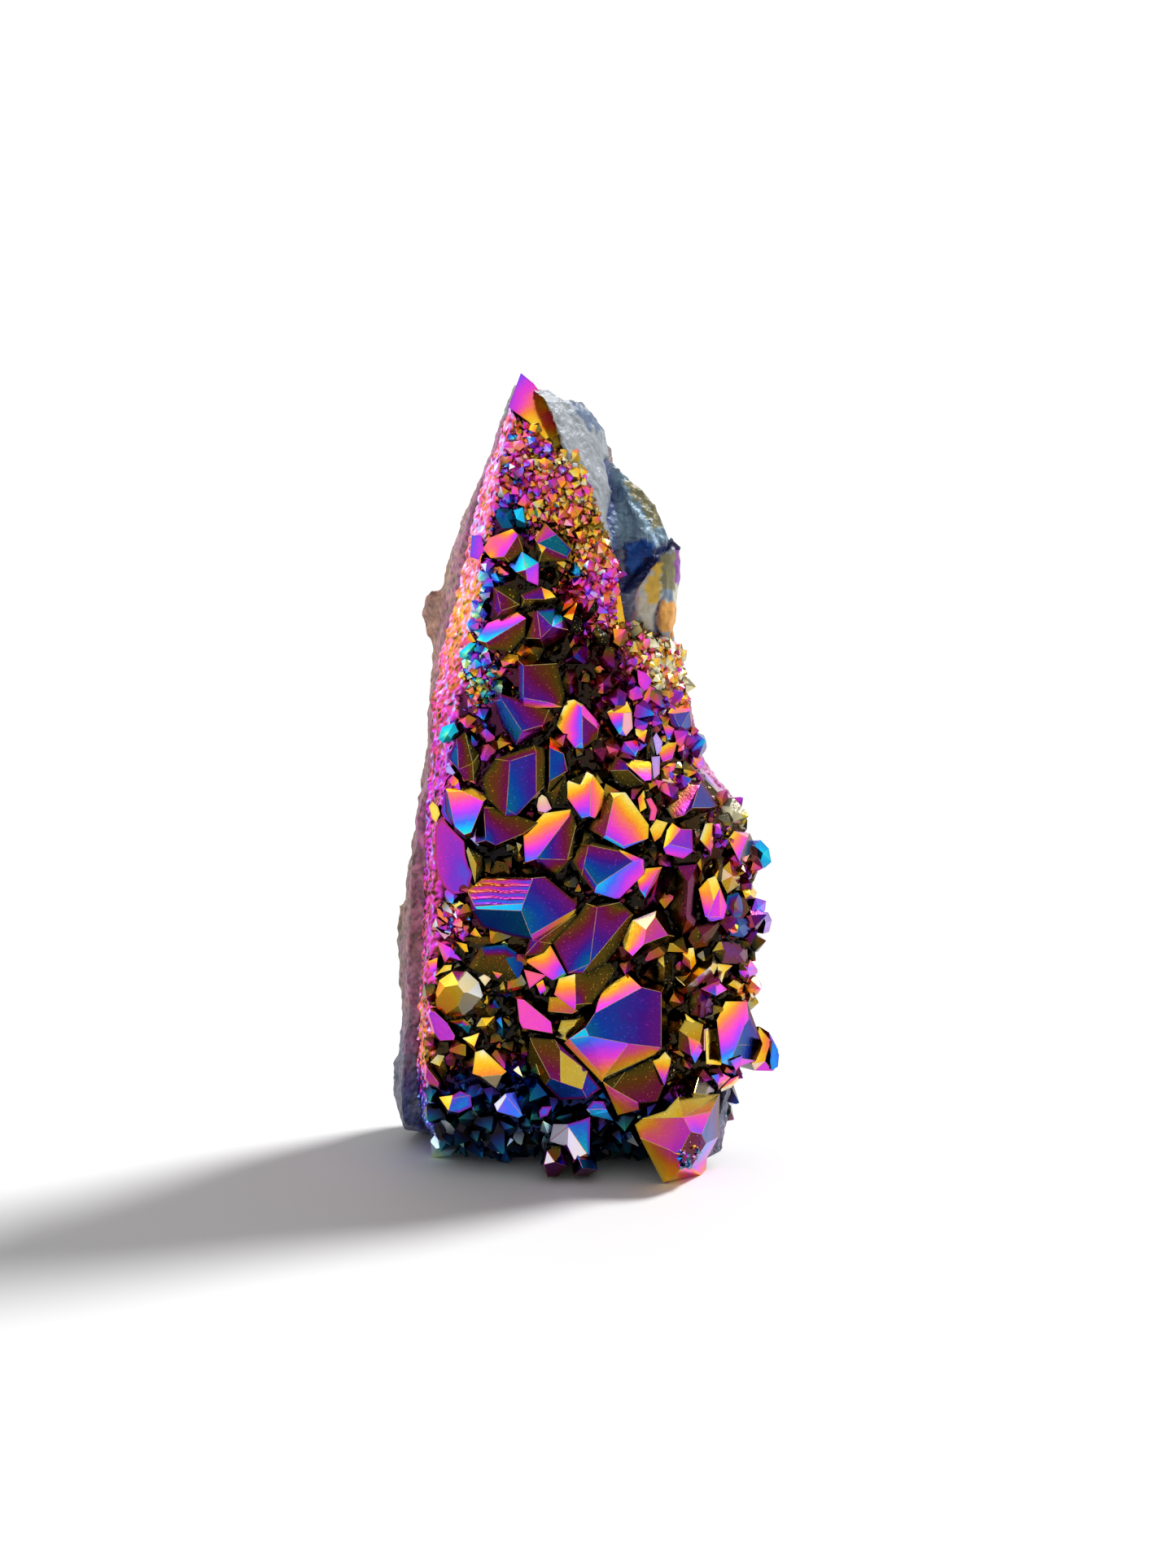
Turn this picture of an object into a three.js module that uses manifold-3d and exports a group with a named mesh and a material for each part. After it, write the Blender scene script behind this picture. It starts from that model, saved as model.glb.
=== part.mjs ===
// A coated quartz cluster: a tower of geode wall that stands on its cut base. The front is a druse of crystals
// on a quartz layer, and behind it is the wall rock, which stands bare at the back, on the left and at the top
// right. Millimetres, +Z up, the front faces -Y, and the origin is in the middle of the base's underside.
import * as THREE from "three";
import { ConvexGeometry } from "three/addons/geometries/ConvexGeometry.js";
import { mergeVertices } from "three/addons/utils/BufferGeometryUtils.js";
import Module from "manifold-3d";

const wasm = await Module();
wasm.setup();

const HEIGHT = 150;
const BED_DEPTH = -19; // y of the crystals' bed in the middle of the front
const BED_TOP_LEAN = 0.15; // how far the bed falls back for each mm of height, above BED_LEAN_FROM
const BED_LEAN_FROM = 95;
const BED_SIDE_RUN = 16; // the width over which the bed turns round the right side, and how far it falls back
const BED_LEFT_FALL = 3;
const TOE_HEIGHT = 8; // below this the front is undercut
const TOE_FALL = 14;
const LAYER = 9; // thickness of the quartz layer under the crystals
const FINEST = 0.15; // details smaller than this are dropped
const SEAM = 0.3; // the gap that stands for the contact between the quartz layer and the wall rock
const GIRDLE = 1.9; // how far a crystal's outline stands off the bed
const RISE = 1.3; // scale of the listed rises
const ROOT = 6; // how far a crystal reaches into the layer
const LOOK_DOWN = THREE.MathUtils.degToRad(12); // the outlines were drawn from this far above the level
const DRAWN_AT = -20; // and on this plane

// The right edge of the crystals, as height and x.
const RIGHT_EDGE = [
  [0, 24], [14, 26], [20, 32], [45, 33], [60, 33], [68, 29.5], [75, 23.5], [80, 21], [90, 19], [105, 17.5],
  [120, 15], [130, 9], [150, -4],
];

// Where the crystals and their layer end and the rock stands bare, from the tip down to the right side.
const BARE_EDGE = [
  [-40, 151], [-15, 145.2], [-3.4, 134.6], [3, 121], [5, 113], [6.5, 104.5], [14, 99], [24, 97],
];

// The wall, as height, x of the front's left edge, x where the layer's broken side meets the rock, x of the
// rock's left side, y of its back and x of its right side.
const WALL = [
  [0, -28, -31, -33.2, 17, 22], [8, -30.6, -33, -34.4, 19.5, 25], [18, -31.2, -33.4, -35.2, 20, 28],
  [35, -30.8, -32.2, -34.4, 20, 30.5], [45, -30, -31.8, -33.6, 20, 30.5], [60, -29, -31.2, -32.2, 19, 30.5],
  [68, -28.3, -31, -31.8, 18, 27.5], [75, -27, -30, -31.5, 17, 22], [90, -26, -29.4, -30.6, 16, 17.5],
  [100, -24, -27.2, -29.8, 15.5, 16], [110, -21.3, -24.4, -28.2, 15, 14], [120, -20, -22.6, -25, 13.5, 9],
  [130, -18, -19.8, -20.4, 11, 4.5], [138, -16, -16.6, -17.4, 9, 2.5], [145, -14.2, -14.6, -15, 6, 0.5],
  [HEIGHT, -13.2, -13.2, -13.3, 0, -11.6],
];

// Lumps of wall rock that stand out of the wall, as corners x, y, z.
const LUMPS = {
  smooth_shoulder: [
    -12.6, -9, 150, -8, -11, 145, -5, -12, 138, -1, -13, 129, 3, -14, 116, 6, -14, 103, -5, 0, 148.6,
    -1, 2, 147,
    2, 3, 144.5, 3.6, 3, 138, 4.6, 2, 129, 7, 0, 113, 8, -2, 102, -10, 4, 145, -2, 8, 130, -2, 8, 102,
  ],
  rough_shoulder: [
    3.8, 4, 136, 8, 5, 133, 11, 5, 130, 13.5, 4, 126, 15.2, 3, 121.5, 15.8, 2, 110, 16, 2, 98, 6.5, 0, 127,
    10, -2.5, 119, 2, 13, 134, 8, 13, 130, 13, 11, 121, 14, 11, 98, 2, 10, 100,
  ],
  spire: [
    16.4, -8, 121.6, 17.2, -6, 119, 16.6, -5, 112, 16.4, -4, 104, 12.4, -10.5, 117.5, 8.6, -12, 112,
    7.4, -12.5, 104,
    13, -13, 108, 15, -11, 101, 12, 1, 114, 13, 3, 99, 8, 0, 99,
  ],
  grey_patch: [
    -31.6, 5, 106, -31.9, 6, 101, -30.9, 6, 97.5, -30, 3, 108.6, -29.4, 11, 107, -29.4, 12, 99, -26, 8, 103,
    -26, 2, 100,
  ],
  left_bulge: [
    -34.8, 5, 47, -35.4, 6, 38, -35, 7, 27, -33, -4, 44, -33, -4, 30, -31, 15, 45, -31, 16, 28, -24, 8, 37,
  ],
  heel: [
    -36, 4, 16, -36.2, 6, 10, -34.6, 4, 1.5, -33.6, -8, 18, -33.4, -8, 6, -31, 16, 18, -30, 16, 0,
    -26, 4, 0, -24, 4, 20,
  ],
  right_heel: [26.5, -8, 14, 27.6, -3, 11, 25.6, -4, 0, 22, -10, 0, 24, 9, 0, 26, 8, 14, 18, 2, 16, 16, 2, 0],
  back_boss: [
    -12, 22.5, 62, 2, 24, 54, 10, 21.5, 44, -16, 21, 38, -4, 23.5, 32, 6, 18, 70, -18, 15, 66, -20, 14, 30,
    14, 15, 30,
  ],
  back_ledge: [
    -16, 19.5, 98, -6, 20.5, 94, 5, 19, 88, -18, 16, 84, 6, 15, 78, -4, 13, 108, -18, 12, 102, -6, 20, 82,
  ],
};

// Each crystal's outline, as x and z, then its highest points, as x, z and rise above the bed.
const CRYSTALS = {
  cyan_wedge: [
    [-14, 126.6, -12.3, 127.1, -11.3, 124.2, -11.5, 122.2, -13.5, 123, -14.1, 124.9],
    [-13.4, 124.9, 2.6, -11.9, 124.1, 2.6],
  ],
  teal_stub: [[-17, 127, -14.3, 126.8, -14, 123.3, -16, 123.2, -17.2, 125.2], [-15.5, 125.8, 2.4]],
  pink_chip: [
    [-19.6, 119.4, -18.4, 121.5, -14.2, 123.1, -12.4, 121.6, -12.2, 118.9, -14.8, 116.9, -18.2, 117.7],
    [-13, 121.7, 3.6, -15.7, 117.9, 3.2],
  ],
  teal_gem: [
    [-10.1, 121.2, -8.2, 124.1, -5.8, 122.3, -3.4, 119.2, -4, 117.2, -9.4, 116.9],
    [-9.4, 121, 3.2, -6.2, 121.8, 3.4, -4, 117.9, 3.4],
  ],
  cyan_gem: [
    [-14.8, 116.4, -12.5, 118.9, -9.4, 116.3, -9.4, 112.3, -11.5, 113.4, -13.5, 115],
    [-11.6, 115.4, 4],
  ],
  cyan_chip: [
    [-18.2, 114.6, -17.3, 115, -15.6, 114.2, -15.6, 113, -16.6, 112.7, -17.8, 113.6],
    [-16.6, 113.4, 2.2],
  ],
  sky_chip: [[-4, 115.4, -2.9, 117, -1.8, 115.2, -1.9, 114.2, -3.6, 114.2], [-2.8, 114.6, 2.6]],
  rose_lip: [[-5.2, 112.6, -3.2, 114.1, -1.5, 114.2, -1.8, 112.9, -3.5, 112.1], [-3.2, 112.7, 2.6]],
  olive_block: [
    [-17.8, 108, -17.5, 112, -15, 112.8, -13, 111.5, -13, 109, -14.5, 107.2, -17, 106.8],
    [-16.5, 110.5, 3],
  ],
  purple_bar: [
    [-12.6, 110.9, -9, 112.4, -7.2, 111.5, -6.3, 110.2, -7.5, 109, -12.5, 108.6],
    [-12, 110, 2.8, -8.7, 110.9, 3],
  ],
  long_blade: [
    [-20.8, 102.4, -18.8, 105.6, -13.4, 107.6, -11.7, 106.4, -12, 103, -14.4, 100.4, -18.6, 100.6],
    [-19, 101.9, 3.6, -12.4, 106, 3.4],
  ],
  lime_chip: [[-24, 100.2, -22, 102, -20.9, 101.8, -21.3, 100.4, -23, 98.9, -23.9, 99.2], [-22.6, 99.8, 2.4]],
  fork_gem: [
    [-11.5, 107.6, -6.4, 108.4, -4.6, 106.2, -4, 104.3, -4.8, 102, -8.5, 100.9, -11.8, 102.8],
    [-6.6, 106, 4.2, -6.9, 104.4, 4],
  ],
  maroon_slab: [
    [-13.2, 98.6, -9, 99.6, -6, 98, -4.7, 92.5, -5.2, 89.9, -12.2, 89.6, -13, 91.5],
    [-12, 91.6, 3.8, -7.4, 90.7, 4.2, -11.6, 97, 2.8],
  ],
  orange_cap: [[-16.4, 98.6, -15, 99.8, -13.2, 99.6, -12.9, 98, -13.6, 97, -16, 97.4], [-14.5, 98, 2.6]],
  blue_fan: [
    [-17.8, 91, -16.5, 92.4, -7.5, 89.5, -6.6, 88.2, -8.5, 84.9, -13.6, 82.8, -16, 86],
    [-16, 90, 2.4, -12.6, 85.6, 3.8, -8.8, 86.8, 3.4],
  ],
  pink_wedge: [[-13.5, 100, -12.2, 101.8, -9.5, 99.4, -12.3, 99.2], [-12, 100.4, 2.2]],
  left_cyan: [[-28, 84, -27.3, 86.2, -25, 87, -24.2, 85.3, -25.3, 83.6, -27.2, 83.2], [-26.2, 84.8, 2.4]],
  left_maroon: [
    [-26.2, 80.4, -24.6, 84, -23, 85.2, -20.5, 81, -20.2, 78.5, -21.5, 76.2, -23, 76],
    [-24.2, 81.5, 3.2, -23.9, 78.4, 3.2],
  ],
  tall_blue: [
    [-19.9, 76.5, -17.5, 80.2, -10.3, 82.8, -8.2, 82.2, -8.4, 75, -10.5, 72, -13.5, 69.6, -15.6, 69.4, -19.2, 73],
    [-14.9, 79, 4.4, -15.2, 71.2, 4.8, -10, 80.8, 3.6],
  ],
  blue_post: [
    [-7.8, 82.6, -7.4, 84.6, -4.4, 81.6, -4.2, 78, -7.8, 73.8, -8.6, 76],
    [-7.3, 82, 3.6, -5, 80.8, 3.4],
  ],
  rainbow_fang: [
    [-26.7, 74.5, -22, 74.9, -18.7, 73.4, -21.6, 65.4, -23, 65, -24.6, 66.5],
    [-22.8, 66.4, 4.4],
  ],
  violet_skirt: [
    [-20, 72, -17.8, 71, -9.5, 68.2, -11.5, 66, -17.5, 63.2, -21.6, 64.2],
    [-19.6, 65.4, 3.4, -15.6, 65, 3.4],
  ],
  gold_roof: [
    [-12.3, 65.8, -8.5, 70, -3.6, 70.7, -2.6, 68, -3.3, 61.8, -6, 58.4, -9.2, 59.3, -12, 60.7],
    [-4.6, 68.2, 4, -9.8, 61.6, 4.6],
  ],
  sail: [
    [-4.4, 91, -6.2, 86.6, -2.8, 82.3, -1.3, 82.2, 1.3, 84, 1.9, 86.6, -1.4, 90.4, -3, 91.3],
    [-1.5, 89.8, 4.2, -1.4, 83.4, 4.6],
  ],
  glare_chip: [[3.1, 89, 6.8, 91, 7.6, 89, 7.8, 86, 6.6, 84.5, 5.4, 84.8, 4, 87], [5.8, 86.8, 3.4]],
  gold_tooth: [[8.3, 85.9, 10.5, 85.7, 10.3, 82.7, 9.3, 83.2, 8.4, 84.8], [9.9, 83.8, 2.8]],
  blue_kite: [[6.3, 83.4, 8.6, 83.8, 9, 82.2, 8.3, 80.6, 5.4, 81.7], [6.7, 83, 2.8, 8.2, 81.2, 3.2]],
  rose_tooth: [[12.4, 82, 14.5, 83.3, 16.1, 83.4, 15.6, 80, 13.4, 79.7], [14.6, 80.8, 3]],
  pink_tooth: [[13.2, 87.4, 15.7, 86, 15.2, 83.9, 14.3, 83.9], [14.6, 84.6, 2.8]],
  navy_cheek: [
    [14.4, 89, 15.5, 90.6, 19, 90.4, 19.1, 86, 16.8, 85.2, 15, 86.8],
    [15.4, 88.8, 3, 18.2, 89, 3],
  ],
  side_tooth: [[19, 80.7, 21.2, 80.4, 21.6, 79, 20.3, 78.4, 19.2, 79.2], [20.2, 79.6, 2.6]],
  magenta_fin: [[6.5, 79.3, 8, 80.1, 11.3, 79.7, 11.5, 76, 10, 75.6, 8, 77.2], [10.4, 76.7, 3.6]],
  violet_shard: [[3.6, 78, 4.8, 80.8, 6.6, 79.6, 10, 75.4, 6.8, 74.8, 4.6, 76.2], [6.2, 78.2, 2.8]],
  maroon_chip: [[0.4, 82, 3, 82.4, 3.4, 79, 2.4, 78.2, 0.8, 79.6], [2.4, 79.8, 2.8]],
  yellow_star: [
    [-5.2, 74.3, -4, 76, -0.6, 77.8, 0.5, 77.2, 3.3, 73.2, 0.9, 69.3, -1.6, 69.1],
    [-0.1, 74.5, 3.6, -0.3, 70.4, 4.4],
  ],
  pink_sail: [
    [-0.6, 67.2, 3.7, 73.9, 6.5, 73.9, 10.8, 67.8, 10.7, 65.2, 6.2, 63.3, 2.4, 65.4],
    [4.2, 72, 3.8, 3.2, 66.3, 5.2, 6, 64.6, 4.6],
  ],
  yolk_chip: [[11, 67.2, 12, 68.7, 14.3, 68.2, 12.6, 64.4, 11.4, 64.5], [12.3, 66, 2.8]],
  purple_hex: [
    [13.5, 63.4, 14.2, 66.8, 15.2, 68.2, 18.8, 66.9, 19, 62.8, 17.2, 61.4, 14, 62.3],
    [16.6, 66.6, 3.6, 14.4, 64, 3.6, 18.2, 63, 3.8],
  ],
  gold_spark: [[8.9, 73, 10.2, 74.2, 10.7, 71, 9.1, 70.2], [9.8, 72, 2.5]],
  coral_curve: [[10.5, 71.8, 11.6, 72.8, 12.9, 69, 11, 68.3], [11.3, 70.2, 2.6]],
  olive_side: [[11.8, 73, 13, 74.2, 14.2, 71, 12.7, 69], [13, 71.6, 2.6]],
  olive_roof: [
    [14, 71, 15.6, 75.5, 20.8, 76.2, 23.9, 71.4, 22.8, 70, 18.5, 69.1, 15.2, 69],
    [20.1, 74.6, 3.8, 18.7, 70.8, 4.4],
  ],
  yellow_spike: [[21.4, 68, 22.7, 68.1, 22.9, 64, 22.3, 61.9, 20.3, 65], [22.2, 63.6, 3]],
  kite_right: [[25.8, 65, 27, 66.5, 30.1, 66, 31, 64, 29, 60, 27.4, 60], [29.4, 65, 3.2, 27.8, 61.3, 3.6]],
  blue_rim: [[31, 63.6, 32.2, 64.7, 33.8, 63, 34.3, 60.4, 33, 59.2, 32, 60.2], [32.6, 62.2, 2.8]],
  mid_purple: [
    [-3.6, 61.5, -0.8, 64.9, 5.4, 63.2, 9.9, 61.2, 10, 58.6, 5.2, 53.6, 0.8, 55, -1.6, 58.2],
    [-0.7, 61.6, 3.4, 1.6, 56.6, 4, 8.8, 60.4, 4],
  ],
  sunset_tooth: [[8.7, 57.6, 10.2, 59.5, 13.3, 59.6, 12.2, 57, 10.2, 53.9, 9.1, 55.6], [10.7, 55.9, 3.8]],
  mauve_side: [[10, 53.6, 12.8, 58.6, 13.6, 56, 12.6, 52.4, 10, 51.4], [11.8, 54.4, 3]],
  olive_tower: [[13.6, 58.6, 16, 59.2, 16.1, 55.4, 14, 54.5, 13.4, 56], [14.8, 57, 3]],
  maroon_tower: [
    [16.3, 60, 19.7, 60.3, 19.8, 50, 18.8, 47.6, 17, 46.9, 14.6, 50.2, 15.2, 53.6],
    [17.8, 57.2, 3.2, 18, 50.4, 3.8],
  ],
  pink_hood: [
    [20.1, 55.6, 21.8, 57.5, 23.3, 58.1, 25.8, 52, 24.9, 49.9, 22.1, 49.2, 21.5, 51.4],
    [22.9, 53.6, 4, 22.4, 50.6, 3.4],
  ],
  ribbed_blue: [
    [-22.8, 55.4, -19.5, 57.9, -10, 58.5, -8.2, 58, -2, 52.6, -2.6, 50.7, -10.5, 46, -15, 46.8, -20, 48.3, -22, 51.5],
    [-10.8, 57, 4.6, -12.8, 51.8, 5.6, -21.4, 52.8, 3.2, -12, 49.6, 5.2],
  ],
  heart_pair: [
    [-7.2, 45.2, -2.4, 50.4, -0.8, 52.9, 5.6, 53.1, 8, 50.8, 5.4, 44.8, 2.4, 40.8, -1.5, 39.6, -4.2, 39.5],
    [1.2, 51.6, 4, 0.3, 43, 5.2],
  ],
  flare: [
    [5.9, 46.6, 7.9, 49.7, 12.2, 51.5, 14, 51.1, 15.6, 46.6, 15, 45.1, 9, 42.9, 7.5, 42.1, 6.3, 44.2],
    [10, 47.7, 4.6, 8.4, 44.4, 4],
  ],
  sunset_wing: [[-12.2, 41.9, -8.6, 44.2, -7.4, 44.9, -4, 39, -7, 38.2], [-6.2, 40.8, 3.4]],
  gold_prow: [
    [-6.7, 35.4, -5.8, 38.5, -2.8, 39.4, 3.6, 41.6, 4.9, 40.2, 0.4, 33.8, -2.8, 32.5],
    [-2.9, 38.2, 3.6, -2.7, 34, 4.4],
  ],
  coral_block: [[-7.9, 32.2, -7.6, 34.9, -5, 34.8, -2.5, 32.2, -3, 30.4], [-3.8, 32, 3.2]],
  rose_triangle: [[-12.4, 40.2, -8.5, 38.8, -11.4, 36.7], [-11, 38.4, 2.6]],
  small_kite: [[-10.4, 37.6, -8.8, 38, -8.1, 35.8, -9.3, 35], [-9.2, 36.3, 2.4]],
  pink_plate: [
    [-14.1, 34.9, -12.7, 35, -6.9, 29.9, -6.6, 27, -12.7, 27.8, -13.4, 29.4],
    [-13.4, 34, 3, -12.5, 28.6, 3.2, -7.2, 27.8, 3.4, -7.5, 29.5, 3.3],
  ],
  great_blue: [
    [-4.8, 26.2, -1, 30.4, 1.3, 33.6, 2.6, 36.8, 7, 39.3, 13.8, 37, 14.9, 26, 12.4, 23.4, 2.3, 17.5],
    [1.6, 32, 4.4, 9.6, 36.4, 4.4, 13, 25.8, 4.8, 7.2, 25.5, 6.4, -3.4, 26.2, 3.8],
  ],
  torch: [[11.8, 21.9, 14.2, 23.8, 15.5, 21.9, 14, 17.3, 13, 17.4], [13.7, 18.8, 3.4]],
  orchid_keel: [
    [2.4, 17.8, 6.8, 19, 12.2, 21.8, 13.6, 17.6, 12.4, 14.6, 8.4, 11.9, 5.4, 10.9],
    [3.8, 17, 3.6, 8.4, 13.9, 4.6, 5.2, 16, 4.2],
  ],
  olive_hull: [
    [-11.2, 27.2, -6.6, 26.8, -1.6, 21.8, 2, 16.8, -0.6, 15, -5.6, 14.8, -8.4, 18, -11.4, 22.5],
    [-6.2, 23.4, 4, -4.4, 17.8, 4.6],
  ],
  gold_edge: [[-11.5, 20, -10.7, 21.8, -8.2, 18.6, -8.3, 17.7, -10, 18.6], [-9.5, 19.3, 3.6]],
  amber_gem: [
    [-22.1, 23.6, -20, 24.1, -15.7, 20, -18.2, 16.1, -21, 17.9, -22.5, 19.4],
    [-21.8, 22.8, 3, -20.2, 23.2, 3, -16.6, 19.8, 3.4, -20.8, 18.6, 3.6],
  ],
  amber_fin: [[-24.4, 26.2, -21.2, 27.4, -20.2, 25.8, -21.8, 23.6], [-21.5, 25.2, 2.8]],
  orchid_plate: [
    [-31, 31.9, -29.6, 31.7, -26, 28, -25.1, 26.6, -25.8, 25.5, -28.6, 25.4, -29.9, 27.6],
    [-30.2, 31, 2.4, -26, 26.8, 2.6, -28.4, 26, 2.6],
  ],
  rose_plate: [
    [-31.5, 20.7, -30.6, 20.9, -28.1, 17.6, -28.4, 16.1, -30.6, 16.7, -31.7, 18.4],
    [-30.7, 19.8, 2.2, -29, 17.4, 2.6],
  ],
  golden_dome: [
    [-29.5, 36, -28, 38.6, -24, 40, -21.6, 38.6, -20, 35.8, -21.5, 33, -24, 31, -27, 31.2, -29, 33],
    [-26.6, 37, 3, -23.6, 37.2, 3.2, -24.6, 34.4, 3.6, -27, 34.4, 3],
  ],
  violet_tooth: [
    [-28.7, 45.7, -25.7, 45.4, -24, 42, -25.8, 41.5, -27.2, 41.6],
    [-25.9, 44.4, 2.8, -26.1, 42.6, 3],
  ],
  gold_pair: [
    [-22.4, 41.4, -20, 42.5, -15.8, 41.3, -14.8, 39.4, -17, 38.3, -20.4, 38.9],
    [-20.1, 41.2, 3, -17.3, 39.6, 3.4],
  ],
  mauve_flat: [
    [-29.2, 61, -28.5, 67, -26.8, 68.7, -23, 64.2, -22.2, 58, -23.2, 55.4, -26, 55.4, -28.7, 58],
    [-27.6, 65.6, 2.2, -24, 62.6, 2.6, -24.2, 57.4, 2.6, -27.6, 58.6, 2.2],
  ],
  steel_boat: [
    [-28.7, 14.4, -26.2, 15.5, -23.2, 15.4, -22.5, 12.6, -24.6, 11.2, -27.2, 10.9],
    [-26.2, 13.4, 3.2, -26.7, 12.1, 3.2],
  ],
  ice_gem: [
    [-18.4, 13.4, -16.1, 15.8, -14.2, 15.7, -12.7, 10.8, -13.6, 10.1, -18, 11.1],
    [-15.2, 14.8, 3.2, -17.3, 12, 3.4],
  ],
  ink_chip: [[-10, 11.5, -9.2, 12.6, -7.2, 12.7, -8, 10.8, -9.5, 10.2], [-8.6, 11.4, 2.6]],
  ice_wing: [[-0.7, 12.2, 0.4, 14, 2.4, 14, 3.1, 12.3, 4.4, 9.8, 0.2, 11], [2.6, 12.2, 3.2, 0.3, 12.2, 3]],
  pearl_gem: [
    [-7.9, 5.6, -7, 9.4, -0.2, 10.2, 0, 4, -0.3, 1.8, -3.2, 2.2],
    [-4.5, 8.4, 5, -1, 3.4, 5.6], 3.4,
  ],
  pearl_foot: [[-9.6, 1, -8.4, 4.7, -5.6, 5, -3.8, 2, -5, -0.8, -8.2, -0.8], [-7, 2.2, 6], 4.4],
  ink_foot: [[-3.8, 1.4, -3.2, 2.8, 0.2, 2.9, 1.7, 1, 0, -0.9, -3.4, -0.9], [-1, 1.2, 6], 4.4],
  corner_point: [
    [8.4, 9.6, 9.8, 5, 13.9, -2.8, 21.9, -3, 25, 5.6, 24.9, 14.8, 16.5, 14.6, 10, 11],
    [15.5, 5, 10.6, 17.6, 0.9, 10.8, 19.6, 0.6, 11, 22.1, 5, 11.2, 21, 7.4, 11.4, 18.8, 7.6, 11.4], 8,
  ],
  olive_brow: [[16.4, 16.2, 18, 19, 22.8, 18.4, 24, 15.4, 22, 12.8, 18.5, 12.4], [19.8, 14.6, 5.6]],
  royal_point: [
    [24.1, 29.6, 25.4, 33.6, 29.7, 33.2, 33.2, 24.2, 31, 21.4, 27.4, 21.2, 25, 21.7],
    [30, 28.8, 5, 27.8, 22.8, 5.6],
  ],
  east_point: [[30.8, 21, 32.4, 27, 34.4, 26, 36.6, 23, 36.4, 20.2, 35.2, 18.6, 31.6, 18.6], [34.4, 22.2, 4]],
  magenta_knot: [[16.6, 28, 18, 31, 21.4, 29, 21.6, 24, 20.6, 21.7, 18.4, 21.8, 16, 24], [18.8, 26, 3.2]],
  gold_knot: [[22, 28.8, 25.3, 28.9, 25, 22.6, 22, 22.3], [23.6, 25, 3.2]],
  violet_keel: [[23, 18.3, 24.8, 19.3, 28.6, 17.8, 26.4, 15.2, 24.2, 15.1], [24.6, 17.6, 3.6]],
  peach_keel: [[25.6, 15.2, 27.4, 18.2, 29.2, 17.2, 28, 15.4, 26.4, 14.6], [27.4, 16.4, 2.8]],
  gold_fork: [[16.8, 44.1, 19.4, 44.3, 20, 40.8, 18.8, 39.9, 17, 41.4], [18.9, 41.6, 3]],
  gold_crescent: [
    [15.7, 38.2, 18.5, 39.4, 22.4, 42, 23.7, 41, 22, 38.6, 18, 35.3, 16.1, 36.3],
    [18, 36.9, 3.4, 21.6, 40.2, 3.2],
  ],
  gold_flag: [[24.1, 41.1, 26.9, 40.6, 25.6, 38.4, 24.7, 37.1, 24, 38.6], [25, 39, 2.8]],
  violet_pair: [
    [20.6, 36.2, 23.8, 37.9, 26, 35.8, 24.6, 34.1, 23.4, 33.7],
    [23.7, 36.4, 3.2, 23.9, 34.8, 3.2],
  ],
  maroon_knee: [[18.8, 35.6, 20.8, 36, 23, 33.6, 22.9, 31.4, 20.5, 30.7, 18.5, 33], [20.6, 33.6, 3.2]],
  gold_heel: [[25.9, 37, 27, 37.9, 29.1, 37, 28.6, 35.3, 27.5, 35], [27.8, 36, 2.8]],
  peach_tooth: [[29.2, 36.9, 31.7, 36, 31, 33.7, 30, 33.3], [30.4, 34.6, 2.6]],
  violet_knee: [[28.2, 41, 31.6, 41.1, 32.2, 38.4, 30.2, 36.9, 28.4, 38], [30.4, 39.4, 3.2]],
  lilac_side: [[30.3, 50.6, 31.2, 53.6, 33.4, 52.8, 33.2, 51, 31.4, 50], [31.8, 51.6, 2.8]],
  lilac_rim: [[32.6, 50.8, 33.8, 50.6, 34.5, 49, 34, 46.8, 32.8, 46.4], [33.4, 48.6, 2.4]],
  peach_curl: [[25.8, 47.5, 26.8, 49.1, 28.2, 49.4, 29.2, 48.6, 27.6, 46.8], [27.4, 47.8, 2.8]],
  gold_curl: [[28.6, 55, 30, 56.2, 31.5, 54.6, 31, 53.4, 29.2, 53.4], [30, 54.4, 2.8]],
  tan_roof: [[24.4, 57, 24.7, 59.5, 26, 60.8, 28, 57.8, 27.8, 56.2, 25.6, 54.6], [26.4, 58, 3.2]],
  tan_keel: [[18.2, 46, 19.4, 49, 25, 50, 21.8, 44.7, 19.4, 44.2], [20.8, 46.8, 2.8]],
};

const FILLERS = 64; // smaller crystals that fill between the large ones
const FILLER_TRIES = 2600;
const FILLER_RADIUS = [1.7, 3];
const FILLER_CLEAR = 0.6; // how far a filler's middle stays outside a large crystal's outline
const FILLER_TIP = 1.25; // tip height over radius, the slope of a quartz point
const FILLER_LEAN = 0.45;

// Straight-line values between the rows of a table, for each column after the first.
function between(table, height) {
  const last = table.length - 1;
  let i = 0;
  while (i < last - 1 && height > table[i + 1][0]) i += 1;
  const low = table[i];
  const high = table[i + 1];
  const share = THREE.MathUtils.clamp((height - low[0]) / (high[0] - low[0]), 0, 1);
  return low.slice(1).map((value, k) => value + share * (high[k + 1] - value));
}

// Where the front is turned towards the right side, from 0 to 1.
function sideShare(x, z) {
  const [edge] = between(RIGHT_EDGE, z);
  return THREE.MathUtils.clamp((x - edge + BED_SIDE_RUN) / BED_SIDE_RUN, 0, 1);
}

// The depth y of the front that the crystals stand on, at x and z.
function face(x, z) {
  const left = THREE.MathUtils.clamp((-x - 14) / 16, 0, 1.2);
  const lean = BED_TOP_LEAN * Math.max(0, z - BED_LEAN_FROM);
  return BED_DEPTH + lean + BED_SIDE_RUN * sideShare(x, z) ** 2 + BED_LEFT_FALL * left ** 2;
}

// The depth y of the layer's own front, which is undercut at the toe.
function bed(x, z) {
  return face(x, z) + TOE_FALL * THREE.MathUtils.clamp((TOE_HEIGHT - z) / TOE_HEIGHT, 0, 1);
}

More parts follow.
